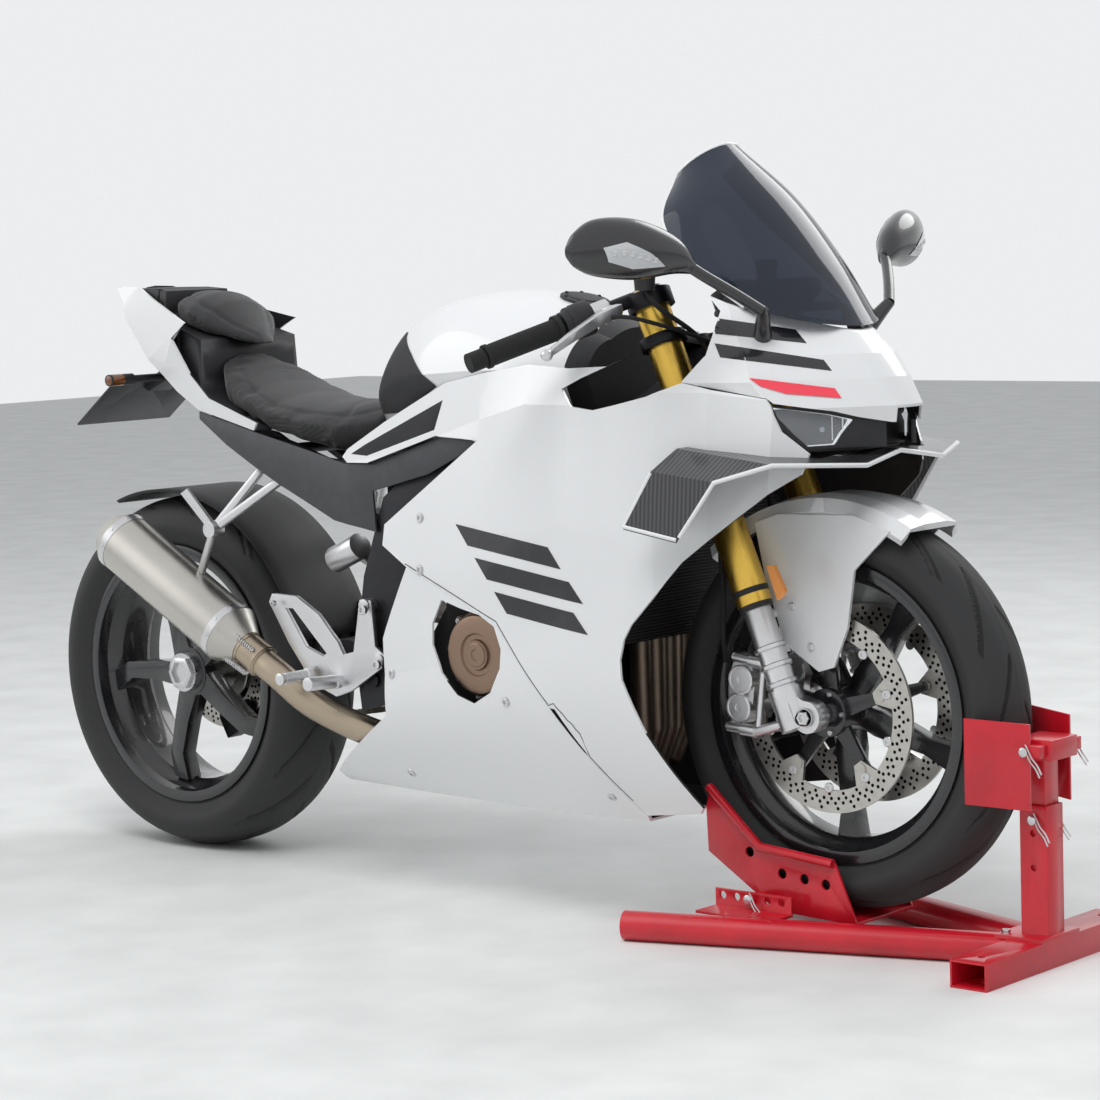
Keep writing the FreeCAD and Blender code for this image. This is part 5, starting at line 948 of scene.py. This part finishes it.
def tyres():
    """Tyres with a round crown and slanted grooves cut into the tread."""
    for node, name, axle, radius, half, bead, body in TYRES:
        drop = radius - 228
        tread = radius - 0.3 * drop
        curve = spread_out([(217.6, bead, 0), (229, bead + 0.5, 0), (radius - 0.62 * drop, half - 0.5, 0),
                            (radius - 0.26 * drop, half * 0.83, 0), (radius - 0.05 * drop, half * 0.42, 0),
                            (radius, 0, 0)], 6)
        wall = [point for point in curve if point.x <= tread]
        crown = [point for point in curve if point.x > tread]
        fine = []
        for start, end in zip([wall[-1]] + crown, crown):
            fine += [(start + end) / 2, end]
        loop = [(point.x, point.y) for point in wall + fine]
        loop += [(r, -y) for r, y in loop[-2::-1]]
        rings = []
        for step, angle in enumerate(turns(TYRE_STEPS)):
            ring = []
            for r, y in loop:
                reach = abs(y) / half
                if 0.12 < reach < 0.84 and r > tread:
                    phase = GROOVES * step / TYRE_STEPS + 1.25 * reach ** 1.4 + (0.25 if y > 0 else -0.25)
                    tooth = abs(phase - math.floor(phase) - 0.5)
                    r -= GROOVE_DEPTH * max(0.0, min(1.0, (0.04 - tooth) / 0.012))
                ring.append(axle + Vector((r * math.cos(angle), y, r * math.sin(angle))))
            rings.append(ring)
        rubber = Maker()
        rubber.skin(rings, closed=True)
        tyre = rubber.piece(name, nodes[node].data.materials[0], body, 50)
        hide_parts(node)


PISTON_CAP = [(-70, 20), (-2, 22.5), (2, 22.5), (4, 20.5), (4, 18.5), (2.5, 17.5), (2.5, 6), (1, 5)]
CALIPER_OUTLINE = [(1284, 418), (1252, 416), (1243, 392), (1240, 349), (1246, 324), (1276, 326), (1286, 350),
                   (1292, 392)]
CALIPER_BRIDGE = [(1256, 410), (1246, 404), (1238, 372), (1240, 336), (1250, 328), (1256, 336), (1252, 372)]

# Each arm's end at the caliper and its joint, on the left, and how far up the fork leg it starts
CALIPER_ARMS = [((1262, 101, 425), (1322, 103, 418), 66), ((1246, 101, 319), (1300, 103, 316), 2)]


def front_caliper_set():
    """Radial calipers: piston caps, a bridged body, and two arms from the fork foot with a strut."""
    calipers = Maker()
    for side in (-1, 1):
        for x, z in ((1270, 391), (1265, 349)):
            calipers.turned((x, side * 99, z), (0, side, 0), PISTON_CAP, 28)
        plates = ((CALIPER_OUTLINE, 70, 93), (CALIPER_OUTLINE, 34, 50), (CALIPER_BRIDGE, 36, 86))
        for outline, low, high in plates:
            calipers.plate([(x, side * low, z) for x, z in outline], (0, side * (high - low), 0))
        joints = []
        for start, joint, along in CALIPER_ARMS:
            start, joint = on_side([start, joint], side)
            end = on_leg(along, side)
            calipers.tube([start, start + (joint - start) * 0.55], 7, 16)
            calipers.tube([start + (joint - start) * 0.5, joint], 9.5, 16)
            calipers.tube([joint - (end - joint).normalized() * 4, end], 8, 12)
            calipers.tube([start + Vector((0, -side * 22, 0)), start], 7, 12)
            joints.append(joint)
        calipers.tube([joints[0] + Vector((-6, 0, -8)), joints[1] + Vector((4, 0, 8))], 5.5, 12)
    body = calipers.piece("front_caliper_set", MAT["alloy"], "front_end", 32)
    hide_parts("front_calipers")


def brake_trim():
    """Bobbins and carrier bolts of the front discs, and the front axle's nuts."""
    bobbins = Maker()
    ends = Maker()
    for side in (-1, 1):
        way = (0, side, 0)
        for angle in turns(10, math.radians(18)):
            place = FRONT_AXLE + Vector((112 * math.cos(angle), side * 60.6, 112 * math.sin(angle)))
            bobbins.turned(place, way, [(-1, 7.5), (1.6, 7.5), (2.4, 6.5), (2.4, 3), (0.8, 2.8)], 16)
        for angle in turns(5):
            place = FRONT_AXLE + Vector((30 * math.cos(angle), side * 66, 30 * math.sin(angle)))
            bobbins.bolt(place, way, 4.2, 4)
        ends.nut(FRONT_AXLE + Vector((0, side * 118, 0)), way, 11, 7)
    bobbins.piece("front_disc_bobbins", MAT["bright"], "front_wheel")
    ends.piece("front_axle_nuts", MAT["bright"], "front_end")


def fork_trim():
    """Seals, collars, caps and foot bolts of the fork, and the steering nut."""
    rings = Maker()
    collars = Maker()
    caps = Maker()
    for side in (-1, 1):
        rings.turned(on_leg(186, side), -STEER_UP, [(0, 26), (7, 26), (9, 24), (9, 21.8)], 32)
        rings.turned(on_leg(200, side), STEER_UP, [(0, 27.4), (9, 27.4)], 32)
        caps.turned(on_leg(686, side), STEER_UP,
                    [(0, 25), (3, 25), (5, 23), (5, 15), (3.5, 14), (3.5, 9), (8, 8.5), (8, 5)], 24)
        for height in (56, 84, 112):
            profile = [(0, 21.8), (1.5, 24.6), (7, 24.6), (8.5, 21.8)]
            collars.turned(on_leg(height, side), STEER_UP, profile, 32)
        for height in (-2, 14):
            place = on_leg(height, side) - STEER_FORWARD * 22 + Vector((0, side * 8, 0))
            caps.bolt(place, -STEER_FORWARD, 4, 4)
    rings.piece("fork_seals", MAT["plastic"], "front_end")
    collars.piece("fork_collars", MAT["alloy"], "front_end")
    caps.piece("fork_caps", MAT["bright"], "front_end")
    nut = Maker()
    nut.nut(LEG_POINT - STEER_FORWARD * 30 + STEER_UP * 616, STEER_UP, 16, 8)
    nut.piece("steering_nut", MAT["bright"], "front_end")


# Engine, exhaust and chain

# (side, height of the middle, how far its face reaches out, radius)
ENGINE_COVERS = [(-1, 414, 208, 70), (1, 404, 186, 66)]
COVER_FOOT = 141


def engine_cover_set():
    """Round clutch and generator covers with a rim of bolts."""
    covers = Maker()
    bolts = Maker()
    for side, height, face, radius in ENGINE_COVERS:
        way = (0, side, 0)
        base = Vector((837, side * COVER_FOOT, height))
        run = face - COVER_FOOT
        profile = [(0, radius), (run - 22, radius), (run - 20, radius - 4), (run - 7, radius - 5),
                   (run - 2, radius - 9), (run, radius - 16), (run, 34), (run - 3, 32), (run - 3, 25),
                   (run + 1, 23), (run + 1, 8)]
        covers.turned(base, way, profile, 64)
        for angle in turns(9, 0.3):
            out = Vector((math.cos(angle), 0, math.sin(angle)))
            place = base + out * (radius + 1) + Vector((0, side * (run - 22), 0))
            covers.turned(place, way, [(-20, 8), (1.5, 8), (2.5, 7)], 16)
            bolts.bolt(place + Vector((0, side * 2, 0)), way, 5, 4)
        cap = [(0, 19), (3, 19), (4, 17.5), (4, 9), (2.5, 8)]
        covers.turned(base + Vector((0, side * (run - 1), 0)), way, cap, 32)
    piece = covers.piece("engine_cover_set", nodes["engine_covers"].data.materials[0], "chassis", 32)
    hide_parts("engine_covers")
    bolts.piece("engine_cover_bolts", MAT["bright"], "chassis")


MUFFLER_FRONT, MUFFLER_REAR = Vector((274, -197, 412)), Vector((18, -205, 562))
LINK_PATH = [(308, -195.9, 392.2), (346, -194.7, 369.5), (385.5, -192, 346), (450, -176, 300),
             (552, -134, 254), (636, -44, 218), (703.7, -20, 213)]
LINK_RADIUS = 24


def exhaust_trim():
    """Link pipe and its clamp, the muffler's straps, rivets and end ring, and the springs of the joint."""
    way = (MUFFLER_REAR - MUFFLER_FRONT).normalized()
    pipe = Maker()
    pipe.tube(spread_out(LINK_PATH), LINK_RADIUS, 28)
    start = Vector(LINK_PATH[0])
    pipe.turned(start, -way, [(0, 28), (40, 28), (44, 27), (46, 24.5)], 32)
    for along in (0, 38):
        pipe.turned(start - way * along, -way, [(0, 29.4), (5, 29.4), (6, 28)], 32)
    link = pipe.piece("exhaust_link", nodes["link_pipe"].data.materials[0], "chassis", 40)
    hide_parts("link_pipe")
    straps = Maker()
    u, v = square_to(way)
    for share in (0.03, 0.97):
        place = MUFFLER_FRONT + (MUFFLER_REAR - MUFFLER_FRONT) * share
        straps.turned(place, way, [(-7, 52.2), (-7, 52.9), (7, 52.9), (7, 52.2)], 48)
        for angle in turns(10):
            out = spoke(u, v, angle)
            straps.turned(place + out * 52.6, out, [(0, 2.6), (0.9, 2.2), (1.3, 1.2)], 8)
    straps.turned(MUFFLER_REAR + way * 12, way, [(0, 34), (11, 33), (11, 27), (-20, 26)], 40)
    straps.piece("muffler_bands", MAT["bright"], "chassis", 30)
    springs = Maker()
    joint = Vector((306, -194, 390))
    for out in (Vector((0.2, -0.75, 0.65)), Vector((-0.4, -0.75, -0.55))):
        out.normalize()
        ends = (joint + way * 10 + out * 36, joint - way * 40 + out * 33)
        springs.coil(*ends, 4.2, 1.1, 11)
        for place in ends:
            springs.turned(place - out * 8, out, [(0, 2.2), (10, 2.2)], 8)
    springs.piece("exhaust_springs", MAT["bright"], "chassis", 60)


FRONT_SPROCKET = Vector((650, 0, 350))
CHAIN_REAR_RADIUS, CHAIN_FRONT_RADIUS = 117, 49
CHAIN_PITCH = 15.875
CHAIN_MIDDLE = 133
LINK_ENDS = 6
LINK_PLATE = 1.3


def chain_path():
    """Points of the closed run round both sprockets."""
    way = FRONT_SPROCKET - REAR_AXLE
    tilt = math.atan2(way.z, way.x)
    lean = math.acos((CHAIN_REAR_RADIUS - CHAIN_FRONT_RADIUS) / way.length)
    path = []
    for centre, radius, first, sweep, steps in (
            (REAR_AXLE, CHAIN_REAR_RADIUS, tilt + lean, 2 * math.pi - 2 * lean, 40),
            (FRONT_SPROCKET, CHAIN_FRONT_RADIUS, tilt - lean, 2 * lean, 20)):
        for step in range(steps + 1):
            angle = first + sweep * step / steps
            path.append(centre + Vector((math.cos(angle), 0, math.sin(angle))) * radius)
    return path + [path[0]]


def chain_links():
    """Rollers and plates along the chain's path; they replace its plain band."""
    path = chain_path()
    total = sum((b - a).length for a, b in zip(path, path[1:]))
    count = 2 * round(total / CHAIN_PITCH / 2)
    places = []
    walked = 0.0
    index = 0
    for link in range(count):
        goal = total * link / count
        while walked + (path[index + 1] - path[index]).length < goal:
            walked += (path[index + 1] - path[index]).length
            index += 1
        run = path[index + 1] - path[index]
        places.append(path[index] + run * ((goal - walked) / run.length))
    links = Maker()
    for number, place in enumerate(places):
        following = places[(number + 1) % count]
        along = (following - place).normalized()
        up = Vector((-along.z, 0, along.x))
        links.turned(place + Vector((0, CHAIN_MIDDLE - 3, 0)), (0, 1, 0), [(0, 4.6), (6, 4.6)], 8)
        offset = 3.4 if number % 2 else 4.9
        outline = [centre + spoke(along, up, math.radians(start + turn * 40)) * LINK_ENDS
                   for centre, start in ((following, -60), (place, 120)) for turn in range(4)]
        for low in (CHAIN_MIDDLE - offset, CHAIN_MIDDLE + offset - LINK_PLATE):
            links.plate([point + Vector((0, low, 0)) for point in outline], (0, LINK_PLATE, 0))
    chain = links.piece("chain_links", MAT["chain"], "chassis", 40)
    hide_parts("chain")


# Rider's controls and fittings

def rearset_trim():
    """Bolts and pegs at the rider's feet."""
    trim = Maker()
    for side in (-1, 1):
        way = (0, side, 0)
        for x, z, radius in ((611, 383, 8), (585, 470, 8), (522, 345, 7), (380, 470, 5)):
            trim.bolt((x, side * 197, z), way, radius, 6)
        peg = Vector((452, side * 196, 356))
        trim.turned(peg, way, [(0, 11), (6, 11), (8, 9), (60, 8.5), (62, 10), (66, 10), (67, 8)], 20)
        for step in range(8):
            trim.turned(peg + Vector((0, side * (14 + step * 5.5), 0)), way, [(0, 9.6), (2.6, 9.6)], 20)
    trim.piece("rearset_trim", MAT["alloy"], "chassis", 35)


# Hoses at the bars, as (along the fork leg, x, y, z from there) for the left
POT_HOSE = [(670, 28, 46, 20), (670, 46, 36, -8), (600, 42, -40, 0), (500, 26, -60, 0), (425, -2, -60, 0)]
LEVER_HOSE = [(670, -14, 100, -20), (670, 36, 70, -24), (590, 50, -70, 0), (520, 34, -84, 0)]


def cockpit():
    """Dash glass, and the fluid pots with their hoses beside the bars."""
    dial = Maker()
    dial.plate([(1243, -74, 955), (1243, 74, 955), (1240, 74, 935), (1240, -74, 935)], (-2, 0, 0))
    dial.piece("dash_glass", MAT["mirror_shell"], "chassis", 20)
    pots = Maker()
    hoses = Maker()
    for side in (-1, 1):
        pots.turned(on_leg(670, side) + Vector((28, side * 46, 18)), (0, 0, 1),
                    [(0, 15), (28, 17), (30, 18.5), (36, 18.5), (38, 16)], 24)
        for hose, radius in ((POT_HOSE, 4), (LEVER_HOSE, 3.2)):
            path = [on_leg(along, side) + Vector((x, side * y, z)) for along, x, y, z in hose]
            hoses.tube(spread_out(path), radius, 8)
    pots.piece("brake_fluid_pots", MAT["plastic"], "front_end")
    hoses.piece("bar_hoses", MAT["rubber"], "front_end", 60)


def grip_ribs():
    """Rings round the grips."""
    rings = Maker()
    for side in (-1, 1):
        run = Vector((-104, side * 222, -76)).normalized()
        end = on_leg(670, side) + Vector((-14, side * 23, 4)) + run * 257
        for step in range(22):
            place = end - run * (116 - step * 4.8)
            rings.turned(place, run, [(-1.2, 16.4), (-0.7, 17.1), (0.7, 17.1), (1.2, 16.4)], 20)
    rings.piece("grip_ribs", MAT["rubber"], "front_end", 60)


def fuel_cap():
    cap = Maker()
    place, normal = touch(tree_of(nodes["fuel_tank"]), (905, 0, 1100), (0, 0, -1), 10)
    cap.turned(place - normal * 2, normal,
               [(0, 40), (3.5, 40), (4.5, 38), (4.5, 30), (3, 29), (6, 27), (7, 22), (7, 5)], 40)
    u, v = square_to(normal)
    for angle in turns(7):
        cap.bolt(place + normal * 1.5 + spoke(u, v, angle) * 34, normal, 3, 3)
    cap.piece("fuel_cap", MAT["plastic"], "chassis")


def rear_trim():
    """Rear lamp, indicator lenses and hub nut facets."""
    lamp = Maker()
    lamp.plate([(-130, -30, 972), (-130, 30, 972), (-108, 44, 946), (-108, -44, 946)], (7, 0, 3))
    lamp.piece("tail_lamp", glowing("tail_lamp_red", (0.55, 0.01, 0.02), 0.15), "chassis", 20)
    lens = Maker()
    for side in (-1, 1):
        lens.turned((-60, side * 150, 832), (0, side, 0), [(-30, 10.3), (-4, 10.3), (0, 8), (1, 4)], 20)
    lens.piece("rear_indicator_lenses", glowing("indicator_amber", (0.16, 0.05, 0.01), 0.0), "chassis")
    nut = Maker()
    nut.turned((0, -62.3, 312), (0, -1, 0), [(0, 30), (6, 30), (8, 27), (8, 20.5), (2, 20.3)], 6)
    nut.piece("hub_nut_facets", MAT["bright"], "rear_wheel")


# Pins of the chock on the left: (x, y, z, radius, length, where its clip hangs out from y)
CHOCK_PINS = [(1280, 106, 60, 7.5, 4, 3), (1727, 22, 211, 7, 5, 4), (1737, 56, 315, 7, 6, 4)]
CLIP = [(0, 0, 6), (4, 0, 0), (12, 2, -12), (20, 1, -22), (28, 3, -34)]


def stand_trim():
    """Pins, clips and nuts of the chock, and the rounded lips of its cradle."""
    pins = Maker()
    lips = Maker()
    for side in (-1, 1):
        for x, y, z, radius, length, out in CHOCK_PINS:
            profile = [(-1, radius), (length, radius), (length + 1, radius - 1.5)]
            pins.turned((x, side * y, z), (0, side, 0), profile, 16)
            clip = spread_out(on_side([(x + a, y + out + b, z + c) for a, b, c in CLIP], side), 4)
            pins.tube(clip, 1.3, 6)
            pins.tube([point + Vector((3, 0, 5)) for point in clip], 1.3, 6)
        lips.tube(on_side([(1187, 78, 220), (1281, 78, 136), (1416, 78, 124)], side), 7, 12)
    pins.piece("chock_pins", MAT["bright"], "front_end")
    lips.piece("cradle_lips", MAT["red"], "front_end", 50)
    nuts = Maker()
    for side in (-1, 1):
        nuts.nut((1689, side * 38, 46), (0, 0, 1), 7, 6)
    nuts.piece("stand_nuts", MAT["bright"], "front_end")


# Seats

SEAT_SHRINK = 2.0
SEAT_SWELL = 5.0
CLOTH_FRAMES = 20
# Seams seen from above, as (x, y); those along a pad run on its left and again on its right
RIDER_SIDE_SEAM = [(150, 34), (190, 70), (250, 96), (310, 104), (380, 98), (450, 84), (505, 50)]
PILLION_SIDE_SEAM = [(22, 30), (60, 58), (100, 66), (140, 48), (176, 16)]
SEAMS = {
    "rider_seat": (RIDER_SIDE_SEAM, [[(214, -84), (204, -40), (200, 0), (204, 40), (214, 84)],
                                     [(452, -82), (440, -40), (436, 0), (440, 40), (452, 82)]]),
    "pillion_seat": (PILLION_SIDE_SEAM, [[(64, -60), (60, 0), (64, 60)]]),
}


def shrunk_mesh(source, name):
    """Copy of a mesh with its faces drawn in a little."""
    work = bmesh.new()
    work.from_mesh(source)
    bmesh.ops.remove_doubles(work, verts=work.verts, dist=0.00002)
    bmesh.ops.recalc_face_normals(work, faces=work.faces)
    work.normal_update()
    for vertex in work.verts:
        vertex.co -= vertex.normal * (SEAT_SHRINK * MM)
    mesh = bpy.data.meshes.new(name)
    work.to_mesh(mesh)
    work.free()
    return mesh


def applied(piece):
    """Mesh of an object as its modifiers leave it."""
    return bpy.data.meshes.new_from_object(piece.evaluated_get(bpy.context.evaluated_depsgraph_get()))


def blow_up(pad):
    """Swells a pad as cloth, with no point further from its start than the limit."""
    rest = [vertex.co.copy() for vertex in pad.data.vertices]
    cloth = pad.modifiers.new("cloth", "CLOTH")
    cloth.settings.use_pressure = True
    cloth.settings.uniform_pressure_force = 3
    cloth.settings.tension_stiffness = 40
    cloth.settings.compression_stiffness = 40
    cloth.settings.bending_stiffness = 8
    cloth.settings.effector_weights.gravity = 0
    scene = bpy.context.scene
    for number in range(1, CLOTH_FRAMES + 1):
        scene.frame_set(number)
    blown = applied(pad)
    pad.modifiers.clear()
    for vertex, start in zip(blown.vertices, rest):
        move = vertex.co - start
        if move.length > SEAT_SWELL * MM:
            vertex.co = start + move.normalized() * (SEAT_SWELL * MM)
    pad.data = blown
    scene.frame_set(1)


def soft_seat(name, node, material):
    """Padded seat: the CAD solid remeshed, blown up a little as cloth and applied."""
    form = linked(name + "_form", shrunk_mesh(nodes[node].data, name + "_form"))
    remesh = form.modifiers.new("even", "REMESH")
    remesh.mode = "VOXEL"
    remesh.voxel_size = 0.0055
    remesh.adaptivity = 0
    soften = form.modifiers.new("soften", "SMOOTH")
    soften.iterations = 3
    soften.factor = 0.5
    even = applied(form)
    bpy.data.objects.remove(form)
    pad = linked(name, even)
    blow_up(pad)
    pad.data.materials.clear()
    pad.data.materials.append(material)
    for polygon in pad.data.polygons:
        polygon.use_smooth = True
    return pad


def seam_path(tree, points):
    """Seam on a pad, from (x, y) points seen from above."""
    path = []
    for point in spread_out([(x, y, 0) for x, y in points], 12):
        place, normal = touch(tree, (point.x, point.y, 1100), (0, 0, -1), 0)
        path.append(place + normal * 0.2)
    return path


def pressed(pad, paths, depth, reach):
    """Draws a pad's surface in along its seams."""
    places = [at(*point) for path in paths for point in path]
    near = KDTree(len(places))
    for index, place in enumerate(places):
        near.insert(place, index)
    near.balance()
    for vertex in pad.data.vertices:
        found, index, distance = near.find(vertex.co)
        share = max(0.0, 1 - distance / (reach * MM))
        vertex.co = vertex.co - vertex.normal * (depth * MM * share * share * (3 - 2 * share))


def stitch(stitches, path):
    """Two rows of short stitches beside a seam."""
    up = Vector((0, 0, 0.5))
    for start, end in zip(path, path[1:]):
        run = end - start
        if run.length < 0.5:
            continue
        count = max(1, int(run.length / 5))
        across = run.cross(Vector((0, 0, 1))).normalized() * 3.2
        for step in range(count):
            a = start + run * ((step + 0.15) / count)
            b = start + run * ((step + 0.75) / count)
            for shift in (across, -across):
                stitches.tube([a + shift, (a + b) / 2 + shift + up, b + shift], [0.35, 0.55, 0.35], 5)


def seats():
    for node, (side_seam, cross_seams) in SEAMS.items():
        name = node + "_pad"
        pad = soft_seat(name, node, MAT["weave"])
        tree = tree_of(pad)
        seams = [[(x, side * y) for x, y in side_seam] for side in (-1, 1)] + cross_seams
        paths = [seam_path(tree, seam) for seam in seams]
        pressed(pad, paths, 2.2, 9)
        tree = tree_of(pad)
        stitches = Maker()
        for path in paths:
            stitch(stitches, [touch(tree, point + Vector((0, 0, 40)), (0, 0, -1), 0)[0] for point in path])
        stitches.piece(name + "_stitches", MAT["thread"], "chassis", 60)
        fine = pad.modifiers.new("fine", "SUBSURF")
        fine.levels = 1
        fine.render_levels = 1
        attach(pad, "chassis")
        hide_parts(node)


MAT = {
    "white": white_paint(),
    "red": painted_steel(),
    "plastic": moulded_plastic("black_plastic", (0.018, 0.018, 0.02)),
    "pad": moulded_plastic("tank_pad_rubber", (0.02, 0.02, 0.022), 0.7),
    "rubber": moulded_plastic("grip_rubber", (0.015, 0.015, 0.015), 0.8),
    "weave": seat_grid(),
    "bright": cast_metal("bright_steel", (0.66, 0.66, 0.67), 0.28),
    "chain": brushed_metal("chain_steel", (0.38, 0.34, 0.28), 0.35),
    "mirror": brushed_metal("mirror_glass", (0.75, 0.77, 0.8), 0.1, strength=0.0),
    "mirror_shell": gloss_black("mirror_black", (0.014, 0.014, 0.016)),
    "screen": tinted_screen(),
    "alloy": cast_metal("silver_alloy", (0.72, 0.72, 0.73), 0.34),
    # The chrome bowls glow: a painted glow that stands in for their bright reflection.
    "chrome": glowing("chrome_bowl_painted_glow", (0.82, 0.84, 0.87), 0.5, 0.2),
    "lamp_glass": glowing("lamp_glass", (0.35, 0.4, 0.5), 0.1, 0.12),
    "thread": moulded_plastic("grey_thread", (0.12, 0.12, 0.125), 0.8),
}

bpy.context.scene.view_settings.view_transform = "Standard"
make_camera()
make_world()
make_floor()
area_light("key", (1.2, -2.6, 4.8), (0, 0, 0.4), 3.0, 140).visible_glossy = False
area_light("fill", (-3.5, -2.5, 3.0), (0, 0, 0.5), 4.0, 45)
area_light("rim", (0.5, 4.0, 3.8), (0, 0, 0.6), 3.0, 70)
dress_all()
smooth_frame()
dark_insides()
dark_tank_front()
round_edges()
graphics()
mirror_heads()
smooth_screen()
tyres()
front_caliper_set()
engine_cover_set()
headlamps()
rearset_trim()
winglet_trim()
left_winglet()
fasteners()
brake_trim()
fork_trim()
exhaust_trim()
cockpit()
chain_links()
stand_trim()
fuel_cap()
grip_ribs()
rear_trim()
seats()
